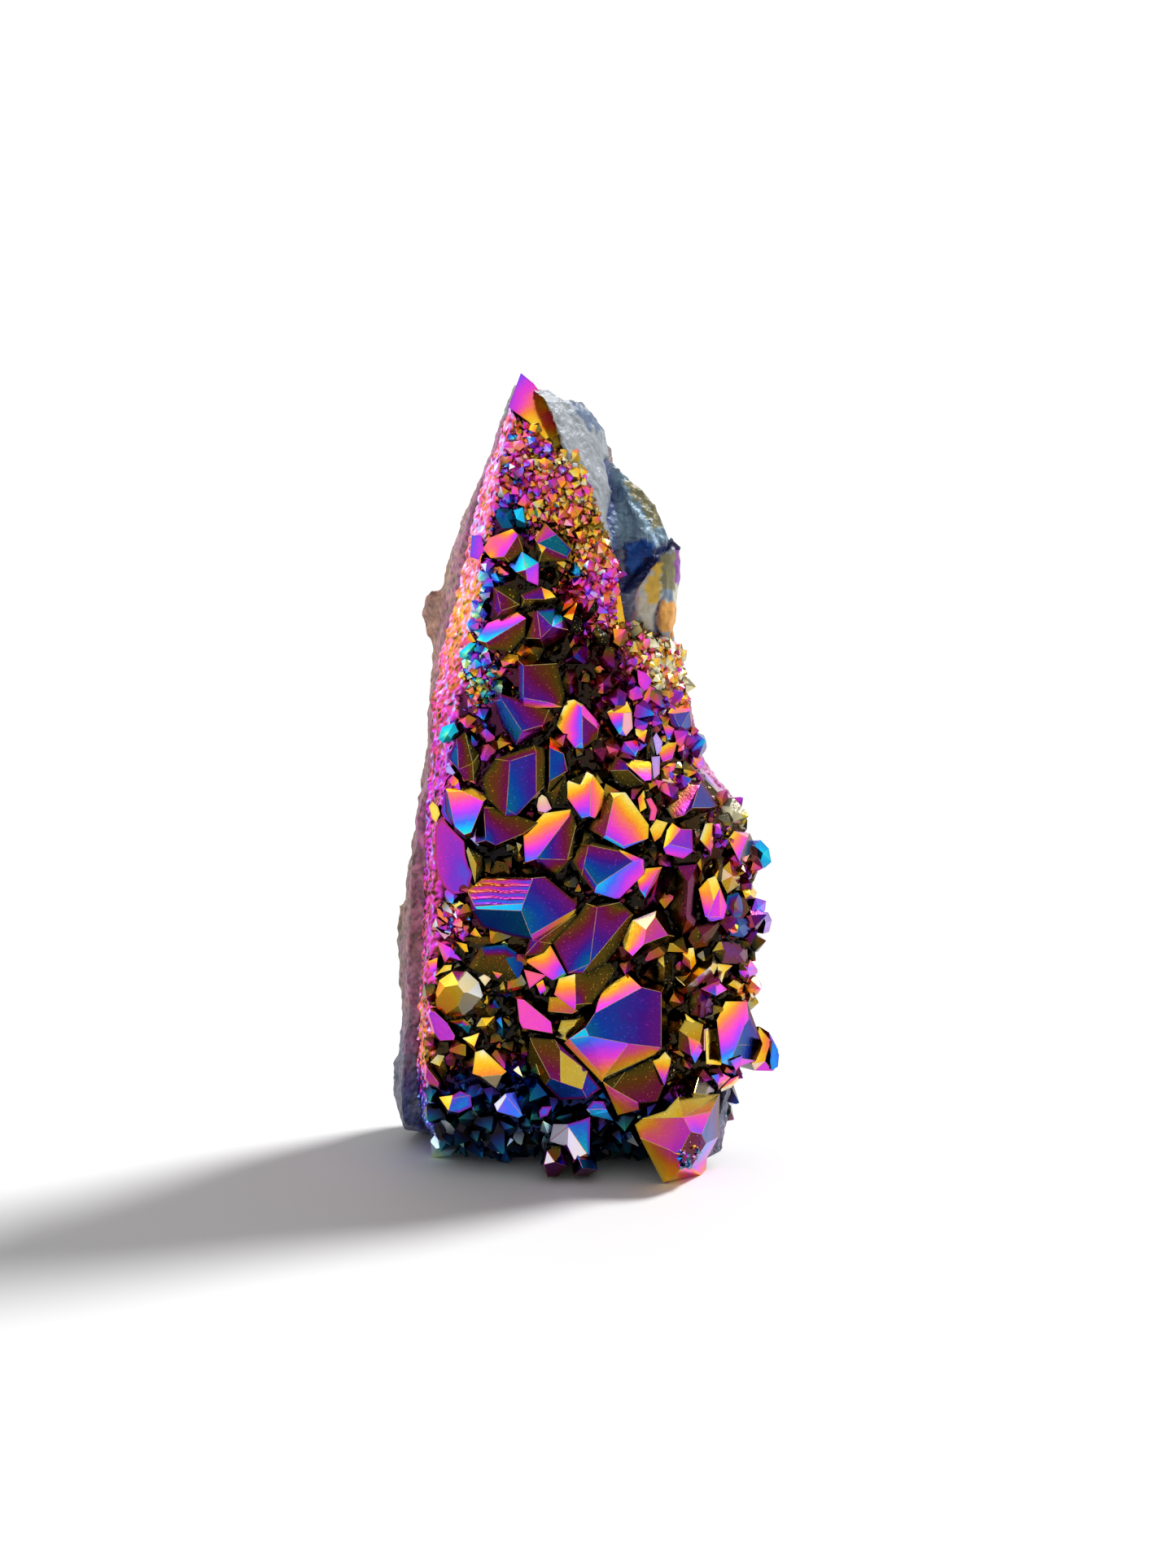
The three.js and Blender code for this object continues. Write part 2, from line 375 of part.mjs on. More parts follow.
// The point at depth y that lies behind a drawn x and z.
function undrawn(x, z, y) {
  return new THREE.Vector3(x, y, Math.max(0, z - (y - DRAWN_AT) * Math.tan(LOOK_DOWN)));
}

function solidOf(geometry) {
  geometry.deleteAttribute("normal");
  geometry.deleteAttribute("uv");
  const merged = mergeVertices(geometry, 1e-4);
  const triVerts = new Uint32Array(merged.index.array);
  return new wasm.Manifold(
    new wasm.Mesh({ numProp: 3, vertProperties: merged.attributes.position.array, triVerts }),
  );
}

const hull = (points) => solidOf(new ConvexGeometry(points));

function geometryOf(solid) {
  const { vertProperties, triVerts } = solid.getMesh();
  return new THREE.BufferGeometry()
    .setAttribute("position", new THREE.BufferAttribute(vertProperties, 3))
    .setIndex(new THREE.BufferAttribute(triVerts, 1))
    .toNonIndexed();
}

// A closed skin over rings of points that all have the same count, capped at both ends by a fan.
function loft(rings) {
  const count = rings[0].length;
  const points = rings.flat();
  const faces = [];
  for (let r = 0; r < rings.length - 1; r += 1)
    for (let i = 0; i < count; i += 1) {
      const a = r * count + i;
      const b = r * count + ((i + 1) % count);
      faces.push(a, b, b + count, a, b + count, a + count);
    }
  const top = (rings.length - 1) * count;
  for (let i = 1; i < count - 1; i += 1) faces.push(0, i + 1, i, top, top + i, top + i + 1);
  const geometry = new THREE.BufferGeometry().setFromPoints(points);
  geometry.setIndex(faces);
  return solidOf(geometry);
}

// The wall before its front is cut back to the bed.
function makeWall() {
  const front = -40;
  const rings = WALL.map(([z, edge, seam, left, back, right]) =>
    [
      [edge, front], [right + 3, front], [right, -3], [right, 5], [right - 5, back - 4],
      [left + 0.5 * (right - left), back], [left + 5, back - 3], [left, 6], [seam, BED_DEPTH + LAYER],
      [edge, BED_DEPTH],
    ].map(([x, y]) => new THREE.Vector3(x, y, z)),
  );
  return loft(rings);
}

// A lump of rock, grown by some distance on every side.
function makeLump(corners, growth) {
  const points = [];
  for (let i = 0; i < corners.length; i += 3)
    for (const side of [-1, 1]) {
      const [x, y, z] = corners.slice(i, i + 3);
      points.push(new THREE.Vector3(x + side * growth, y, z));
      points.push(new THREE.Vector3(x, y + side * growth, z));
      points.push(new THREE.Vector3(x, y, z + side * growth));
    }
  return hull(points);
}

// Everything in front of the bed moved back by some distance, as a block with a curved back.
function frontOf(distance) {
  const front = -60;
  const columns = [-44, -30, -22, -14, -4, 4, 10, 15, 19, 23, 27, 31, 35, 44];
  const rows = [-6, 0, 4, 8, 20, 35, 50, 62, 69, 76, 84, 95, 108, 120, 135, 156];
  const points = [];
  for (const z of rows) for (const x of columns) points.push(new THREE.Vector3(x, bed(x, z) + distance, z));
  const behind = points.length;
  for (const z of rows) for (const x of columns) points.push(new THREE.Vector3(x, front, z));
  const faces = [];
  const wide = columns.length;
  const quad = (a, b, c, d) => faces.push(a, b, c, a, c, d);
  for (let r = 0; r < rows.length - 1; r += 1)
    for (let c = 0; c < wide - 1; c += 1) {
      const a = r * wide + c;
      quad(a, a + wide, a + wide + 1, a + 1);
      quad(a + behind, a + 1 + behind, a + wide + 1 + behind, a + wide + behind);
    }
  const rim = [];
  for (let c = 0; c < wide; c += 1) rim.push(c);
  for (let r = 1; r < rows.length; r += 1) rim.push(r * wide + wide - 1);
  for (let c = wide - 2; c >= 0; c -= 1) rim.push((rows.length - 1) * wide + c);
  for (let r = rows.length - 2; r > 0; r -= 1) rim.push(r * wide);
  rim.forEach((a, i) => {
    const b = rim[(i + 1) % rim.length];
    quad(a, b, b + behind, a + behind);
  });
  const geometry = new THREE.BufferGeometry().setFromPoints(points);
  geometry.setIndex(faces);
  return solidOf(geometry);
}

// Everything above and to the right of the bare edge, as one block for each stretch of it.
function makeBareZone() {
  const farRight = 60;
  const blocks = [];
  for (let i = 0; i < BARE_EDGE.length - 1; i += 1) {
    const [ax, az] = BARE_EDGE[i];
    const [bx, bz] = BARE_EDGE[i + 1];
    const corners = [[ax, az], [bx, bz], [farRight, bz], [farRight, az]];
    blocks.push(hull([-60, 60].flatMap((y) => corners.map(([x, z]) => new THREE.Vector3(x, y, z)))));
  }
  return wasm.Manifold.union(blocks);
}

// One large crystal: its outline stands off the front, its root narrows into the layer, its tips stand proud.
function makeCrystal([outline, tips, girdle = GIRDLE]) {
  const corners = [];
  for (let i = 0; i < outline.length; i += 2) corners.push([outline[i], outline[i + 1]]);
  const middleX = corners.reduce((sum, c) => sum + c[0], 0) / corners.length;
  const middleZ = corners.reduce((sum, c) => sum + c[1], 0) / corners.length;
  const inward = 6 * sideShare(middleX, middleZ) ** 2;
  const points = [];
  for (const [x, z] of corners) {
    points.push(undrawn(x, z, face(x, z) - girdle));
    const rootX = middleX + 0.75 * (x - middleX) - inward;
    const rootZ = middleZ + 0.75 * (z - middleZ);
    points.push(undrawn(rootX, rootZ, bed(x, z) + ROOT));
  }
  for (let i = 0; i < tips.length; i += 3) {
    const [x, z, rise] = tips.slice(i, i + 3);
    points.push(undrawn(x, z, face(x, z) - RISE * rise));
  }
  return hull(points);
}

// A repeatable random number from 0 to 1.
let seed = 20260;
function random() {
  seed = (seed * 1664525 + 1013904223) % 4294967296;
  return seed / 4294967296;
}

// Whether x and z lie inside a list of corners, or less than a margin outside them.
function inOutline(x, z, outline, margin) {
  let inside = false;
  for (let i = 0, j = outline.length - 2; i < outline.length; j = i, i += 2) {
    const [ax, az, bx, bz] = [outline[i], outline[i + 1], outline[j], outline[j + 1]];
    if (az > z !== bz > z && x < ((bx - ax) * (z - az)) / (bz - az) + ax) inside = !inside;
    const [runX, runZ] = [bx - ax, bz - az];
    const along = THREE.MathUtils.clamp(((x - ax) * runX + (z - az) * runZ) / (runX ** 2 + runZ ** 2), 0, 1);
    if (Math.hypot(x - ax - along * runX, z - az - along * runZ) < margin) return true;
  }
  return inside;
}

// Whether x and z lie above and to the right of the bare edge.
function isBare(x, z) {
  const i = BARE_EDGE.findIndex(([, height]) => height < z);
  if (i < 1) return i === 0;
  const [ax, az] = BARE_EDGE[i - 1];
  const [bx, bz] = BARE_EDGE[i];
  return x > ax + ((bx - ax) * (z - az)) / (bz - az);
}

// A plain six-sided quartz point at x and z, standing square to the bed with a small lean.
function makeFiller(x, z, radius) {
  const step = 0.5;
  const across = new THREE.Vector3(step, face(x + step, z) - face(x, z), 0);
  const upward = new THREE.Vector3(0, face(x, z + step) - face(x, z), step);
  const axis = across.cross(upward).normalize();
  axis.x += FILLER_LEAN * (random() - 0.5);
  axis.z += FILLER_LEAN * (random() - 0.5);
  axis.normalize();
  const turn = new THREE.Quaternion().setFromUnitVectors(new THREE.Vector3(0, 0, 1), axis);
  const seat = new THREE.Vector3(x, bed(x, z), z);
  const spin = random() * Math.PI;
  const place = (r, angle, h) =>
    new THREE.Vector3(r * Math.cos(angle), r * Math.sin(angle), h).applyQuaternion(turn).add(seat);
  const points = [place(0, 0, 0.6 + FILLER_TIP * radius)];
  for (let i = 0; i < 6; i += 1) {
    const angle = spin + (i * Math.PI) / 3;
    points.push(place(radius, angle, 0.6 + 0.2 * radius * (i % 2)), place(0.8 * radius, angle, -3));
  }
  return hull(points);
}

function makeFillers() {
  const made = [];
  const placed = [];
  const outlines = Object.values(CRYSTALS).map(([outline]) => outline);
  for (let i = 0; i < FILLER_TRIES && made.length < FILLERS; i += 1) {
    const z = 4 + random() * 134;
    const [leftEdge] = between(WALL, z);
    const [rightEdge] = between(RIGHT_EDGE, z);
    const x = leftEdge + 2 + random() * (rightEdge - leftEdge - 2.5);
    const radius = THREE.MathUtils.lerp(...FILLER_RADIUS, random());
    if (isBare(x + radius, z + radius)) continue;
    if (outlines.some((outline) => inOutline(x, z, outline, FILLER_CLEAR))) continue;
    if (placed.some((p) => Math.hypot(p[0] - x, p[1] - z) < p[2] + 0.6 * radius)) continue;
    placed.push([x, z, radius]);
    made.push(makeFiller(x, z, radius));
  }
  return made;
}

// The largest of a solid's separate bodies.
function mainBody(solid) {
  return solid.decompose().sort((a, b) => b.volume() - a.volume())[0];
}

const wall = makeWall();
const lumps = Object.values(LUMPS);
const rock = mainBody(
  wasm.Manifold.union([wall.subtract(frontOf(LAYER + SEAM)), ...lumps.map((corners) => makeLump(corners, 0))])
    .trimByPlane([0, 0, 1], 0),
).simplify(FINEST);

const layer = wall.intersect(frontOf(LAYER)).subtract(frontOf(0)).subtract(makeBareZone());
const crystals = Object.values(CRYSTALS).map(makeCrystal);
const druse = mainBody(
  wasm.Manifold.union([layer, ...crystals, ...makeFillers()])
    .intersect(frontOf(LAYER))
    .subtract(wasm.Manifold.union(lumps.map((corners) => makeLump(corners, SEAM))))
    .trimByPlane([0, 0, 1], 0),
).simplify(FINEST);

const rockFinish = new THREE.MeshStandardMaterial({ color: 0x8f8a94, roughness: 0.7, metalness: 0.2 });
const druseFinish = new THREE.MeshStandardMaterial({ color: 0x8a3f9c, roughness: 0.25, metalness: 0.8 });

function node(name, solid, finish) {
  const mesh = new THREE.Mesh(geometryOf(solid), finish);
  mesh.name = name;
  return mesh;
}

const cluster = new THREE.Group();
cluster.add(node("wall_rock", rock, rockFinish), node("crystal_druse", druse, druseFinish));

export default cluster;
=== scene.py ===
# %% [markdown]
# # A rainbow-coated quartz cluster
#
# The real object is a tower of geode wall about 15 cm tall. Quartz points grow out of its front, and all of
# it has been coated in a vacuum with a film of metal so thin that light interferes in it. That film gives the
# gold, pink, violet, blue and teal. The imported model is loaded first: it is the frame that every piece here
# must fit.

# %% Load the frame
import math
import random
import bpy
import bmesh
import numpy as np
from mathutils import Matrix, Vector, noise


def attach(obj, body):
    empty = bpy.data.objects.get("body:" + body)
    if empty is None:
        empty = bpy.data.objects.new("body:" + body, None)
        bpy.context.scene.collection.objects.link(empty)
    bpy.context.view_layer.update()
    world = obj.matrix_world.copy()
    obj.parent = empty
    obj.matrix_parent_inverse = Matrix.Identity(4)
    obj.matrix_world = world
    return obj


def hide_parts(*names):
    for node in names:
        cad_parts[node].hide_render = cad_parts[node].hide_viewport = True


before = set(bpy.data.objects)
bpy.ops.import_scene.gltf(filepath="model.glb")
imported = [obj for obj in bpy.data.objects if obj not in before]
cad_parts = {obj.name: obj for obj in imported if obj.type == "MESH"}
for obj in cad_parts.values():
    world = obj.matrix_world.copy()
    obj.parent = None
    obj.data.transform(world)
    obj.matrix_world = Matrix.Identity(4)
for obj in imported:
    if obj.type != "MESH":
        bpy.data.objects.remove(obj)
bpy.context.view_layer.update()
MM = 0.001
print("nodes in the frame:", sorted(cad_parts))

# %% [markdown]
# ## Camera
#
# The camera stands 0.7 m away and about 12 degrees above the level, and looks along +Y. The lens is worked
# out from how much of the scene the frame's height should hold at that distance.

# %% Camera
LOOK_DOWN = math.radians(12)
LOOK_AT = Vector((-0.4, -20, 75.5)) * MM
CAMERA_AWAY = 0.7
FRAME_HEIGHT = 0.289
SENSOR = 36

camera = bpy.data.objects.new("camera", bpy.data.cameras.new("camera"))
bpy.context.collection.objects.link(camera)
camera.data.sensor_width = SENSOR
camera.data.lens = SENSOR * CAMERA_AWAY / FRAME_HEIGHT
camera.location = LOOK_AT + CAMERA_AWAY * Vector((0, -math.cos(LOOK_DOWN), math.sin(LOOK_DOWN)))
camera.rotation_euler = (math.radians(90) - LOOK_DOWN, 0, 0)
bpy.context.scene.camera = camera
print("lens in mm:", round(camera.data.lens, 1))

# %% [markdown]
# ## Node helpers
#
# Light, finishes and scatter are all built from nodes, so these few functions add a node with its inputs.


# %% Node helpers
def feed(tree, node, inputs):
    """Sets a node's inputs, by name or number, to a value, or links them to another node's output."""
    for key, value in inputs.items():
        if isinstance(value, bpy.types.NodeSocket):
            tree.links.new(value, node.inputs[key])
        else:
            node.inputs[key].default_value = value


def new_node(tree, kind, inputs=(), **settings):
    node = tree.nodes.new(kind)
    for key, value in settings.items():
        setattr(node, key, value)
    feed(tree, node, dict(inputs))
    return node


def ramp_node(tree, share, stops):
    """A colour ramp from its stops, each a place and a colour."""
    node = new_node(tree, "ShaderNodeValToRGB", {"Fac": share})
    ramp = node.color_ramp
    ramp.elements.remove(ramp.elements[-1])
    for number, (place, colour) in enumerate(stops):
        element = ramp.elements[0] if number == 0 else ramp.elements.new(place)
        element.position = place
        element.color = (*colour, 1)
    return node.outputs["Color"]


def range_node(tree, value, start, end, low=0.0, high=1.0):
    """Maps start to end onto low to high."""
    ends = {"From Min": start, "From Max": end, "To Min": low, "To Max": high}
    return new_node(tree, "ShaderNodeMapRange", {"Value": value, **ends}).outputs["Result"]


def new_finish(name):
    """A material, its nodes and its shader."""
    material = bpy.data.materials.new(name)
    material.use_nodes = True
    return material, material.node_tree, material.node_tree.nodes["Principled BSDF"]


print("node helpers ready")

# %% [markdown]
# ## Floor and light
#
# A metal film shows what surrounds it, so the light matters as much as the colours. A soft sun behind on the
# right throws the shadow to the left. The world has three parts: white for the camera, even light for the
# floor, and for reflections a sky that is bright behind on the left and dimmer in front on the right.

# %% Floor
FLOOR_HALF = 30
FLOOR_GREY = (0.88, 0.88, 0.88, 1)

floor_mesh = bpy.data.meshes.new("floor")
corners = [(x * FLOOR_HALF, y * FLOOR_HALF, 0) for x, y in ((-1, -1), (1, -1), (1, 1), (-1, 1))]
floor_mesh.from_pydata(corners, [], [(0, 1, 2, 3)])
floor = bpy.data.objects.new("floor", floor_mesh)
bpy.context.collection.objects.link(floor)
pale_floor, floor_tree, floor_shader = new_finish("pale_floor")
feed(floor_tree, floor_shader, {"Base Color": FLOOR_GREY, "Roughness": 0.7})
floor_mesh.materials.append(pale_floor)
print("floor placed")

# %% Sun
SUN_WAY = Vector((-0.62, -0.42, -0.72))

sun = bpy.data.lights.new("soft_sun", "SUN")
sun.energy = 3.7
sun.angle = math.radians(15)
sun_holder = bpy.data.objects.new("soft_sun", sun)
sun_holder.rotation_euler = SUN_WAY.to_track_quat("-Z", "Y").to_euler()
bpy.context.collection.objects.link(sun_holder)
print("sun placed")

# %% World
SKY_FOR_FLOOR = 0.34
WHITE = (1, 1, 1, 1)
DIM_SIDE = Vector((0.75, -0.45, -0.5)).normalized()
SKY_STEPS = [(0.0, 1.7), (0.3, 1.3), (0.55, 1.0), (0.8, 0.85), (1.0, 0.95)]


def background(colour, strength):
    return new_node(sky, "ShaderNodeBackground", {"Color": colour, "Strength": strength}).outputs[0]


def choose(share, first, second):
    """The first shader where share is 0, the second where it is 1."""
    return new_node(sky, "ShaderNodeMixShader", {0: share, 1: first, 2: second}).outputs[0]


world = bpy.data.worlds.new("studio")
bpy.context.scene.world = world
world.use_nodes = True
sky = world.node_tree
sky.nodes.clear()
ray = new_node(sky, "ShaderNodeLightPath").outputs
way = new_node(sky, "ShaderNodeTexCoord").outputs["Generated"]
dimness = new_node(sky, "ShaderNodeVectorMath", {0: way, 1: DIM_SIDE}, operation="DOT_PRODUCT")
share = range_node(sky, dimness.outputs["Value"], -1, 1)
steps = ramp_node(sky, share, [(place, (level,) * 3) for place, level in SKY_STEPS])
surroundings = choose(ray["Is Glossy Ray"], background(WHITE, SKY_FOR_FLOOR), background(steps, 1.0))
surroundings = choose(ray["Is Camera Ray"], surroundings, background(WHITE, 1.0))
new_node(sky, "ShaderNodeOutputWorld", {"Surface": surroundings})
bpy.context.scene.view_settings.view_transform = "Standard"
print("sky has", len(SKY_STEPS), "steps")

# %% [markdown]
# ## The face that the crystals stand on
#
# Two functions give its depth anywhere: it is nearly flat in the middle, leans back at the top, turns round
# the right side and is undercut at the toe. All lengths are in millimetres until a mesh is made.

# %% Shape of the front
BED_DEPTH = -19
BED_TOP_LEAN = 0.15
BED_LEAN_FROM = 95
BED_SIDE_RUN = 16
BED_LEFT_FROM = 14
BED_LEFT_FALL = 3
TOE_HEIGHT = 8
TOE_FALL = 14
RIGHT_EDGE = [
    (0, 24), (14, 26), (20, 32), (45, 33), (60, 33), (68, 29.5), (75, 23.5), (80, 21), (90, 19),
    (105, 17.5), (120, 15), (130, 9), (150, -4),
]
# height, front's left edge, where the layer meets the rock on the left, the layer's right side
WALL = [
    (0, -28, -31, 22), (8, -30.6, -33, 25), (18, -31.2, -33.4, 28), (35, -30.8, -32.2, 30.5),
    (45, -30, -31.8, 30.5), (60, -29, -31.2, 30.5), (68, -28.3, -31, 27), (75, -27, -30, 20.6),
    (90, -26, -29.4, 17.5), (100, -24, -27.2, 16), (110, -21.3, -24.4, 14), (120, -20, -22.6, 9),
    (130, -18, -19.8, 4.5), (138, -16, -16.6, 2.5), (145, -14.2, -14.6, 0.5), (150, -13.2, -13.2, -11.6),
]
# where the rock stands bare, as height and x, from the foot of the bare area to the tip
BARE_EDGE = [(97, 24), (99, 14), (104.5, 6.5), (113, 5), (121, 3), (134.6, -3.4), (145.2, -15)]


def clamp(value, low=0, high=1):
    return min(max(value, low), high)


def between(table, height):
    columns = np.array(table, dtype=float)
    return [float(np.interp(height, columns[:, 0], column)) for column in columns[:, 1:].T]


def side_share(x, z):
    return clamp((x - between(RIGHT_EDGE, z)[0] + BED_SIDE_RUN) / BED_SIDE_RUN)


def face_depth(x, z):
    left = clamp((-x - BED_LEFT_FROM) / BED_SIDE_RUN, 0, 1.2)
    lean = BED_TOP_LEAN * max(0, z - BED_LEAN_FROM)
    return BED_DEPTH + lean + BED_SIDE_RUN * side_share(x, z) ** 2 + BED_LEFT_FALL * left**2


def bed_depth(x, z):
    return face_depth(x, z) + TOE_FALL * clamp((TOE_HEIGHT - z) / TOE_HEIGHT)


print("bed depth in the middle:", bed_depth(0, 60), "and at the right side:", round(bed_depth(30, 60), 1))

# %% [markdown]
# ## Outlines as the camera sees them
#
# The crystals' outlines are given as they look from the camera, on an upright plane at DRAWN_AT. What stands
# behind that plane looks higher than it is, so a corner at another depth is moved down to match.

# %% Drawn places
DRAWN_AT = -20


def undrawn(x, z, y):
    """The point at depth y behind the drawn place (x, z)."""
    return Vector((x, y, max(0, z - (y - DRAWN_AT) * math.tan(LOOK_DOWN))))


def drawn_place(co):
    return co.x, co.z + (co.y - DRAWN_AT) * math.tan(LOOK_DOWN)


def read_corners(text):
    """Corners such as '1 2, 3 4' as [(1, 2), (3, 4)]."""
    return [tuple(float(value) for value in corner.split()) for corner in text.split(",")]


def read_rows(text):
    """Rows of parts between bars. A row goes on where a line is indented."""
    return [row.split(" | ") for row in text.strip().replace("\n  ", " ").split("\n")]


def read_crystals(text):
    """Named rows with an outline, the highest points and the facets, as a dictionary."""
    crystals = {}
    for start, tips, *facets in read_rows(text):
        name, outline = start.split(": ")
        crystals[name] = (read_corners(outline), read_corners(tips), facets)
    return crystals


def in_outline(x, z, corners):
    """Whether (x, z) lies in the outline, a list of corners."""
    inside = False
    for (ax, az), (bx, bz) in zip(corners, corners[-1:] + corners[:-1]):
        if (az > z) != (bz > z) and x < (bx - ax) * (z - az) / (bz - az) + ax:
            inside = not inside
    return inside


print("drawn 1 cm further back:", [round(value, 1) for value in undrawn(0, 50, DRAWN_AT + 10)])

# %% [markdown]
# ## Film colours
#
# The colour of a thin film depends on its thickness. Going up from a thin film, the order is always the same:
# olive, gold, amber, pink, magenta, violet, blue, cyan, teal, lime. So each facet needs only a thickness in
# its hollow and one at its tip. Light and shade are painted into the colour as well: a facet that is taken to
# face the light is painted in the bright version of the colour, and one that faces away in a deep, shaded
# version of it. Both versions are ramps over the same thickness.

# %% The scale of film thickness
FILM = {
    "olive": 0.04, "gold": 0.14, "brown": 0.24, "amber": 0.26, "maroon": 0.36, "pink": 0.4, "magenta": 0.5,
    "plum": 0.5, "indigo": 0.6, "violet": 0.61, "blue": 0.72, "navy": 0.72, "cyan": 0.84, "teal": 0.88,
    "lime": 0.98,
}
# how much painted light each word gives a facet: dark is painted shade, pale and white are painted glare
PAINTED_LIGHT_LEVELS = {"dark": 0.0, "mid": 0.5, "bright": 1.0, "pale": 1.6, "white": 2.1}


def read_painted_light(words):
    """A facet that names no level of painted light is painted dark."""
    return PAINTED_LIGHT_LEVELS[words[0] if words else "dark"]


print("film steps:", len(FILM), "and the tone of a facet that names none:", read_painted_light([]))
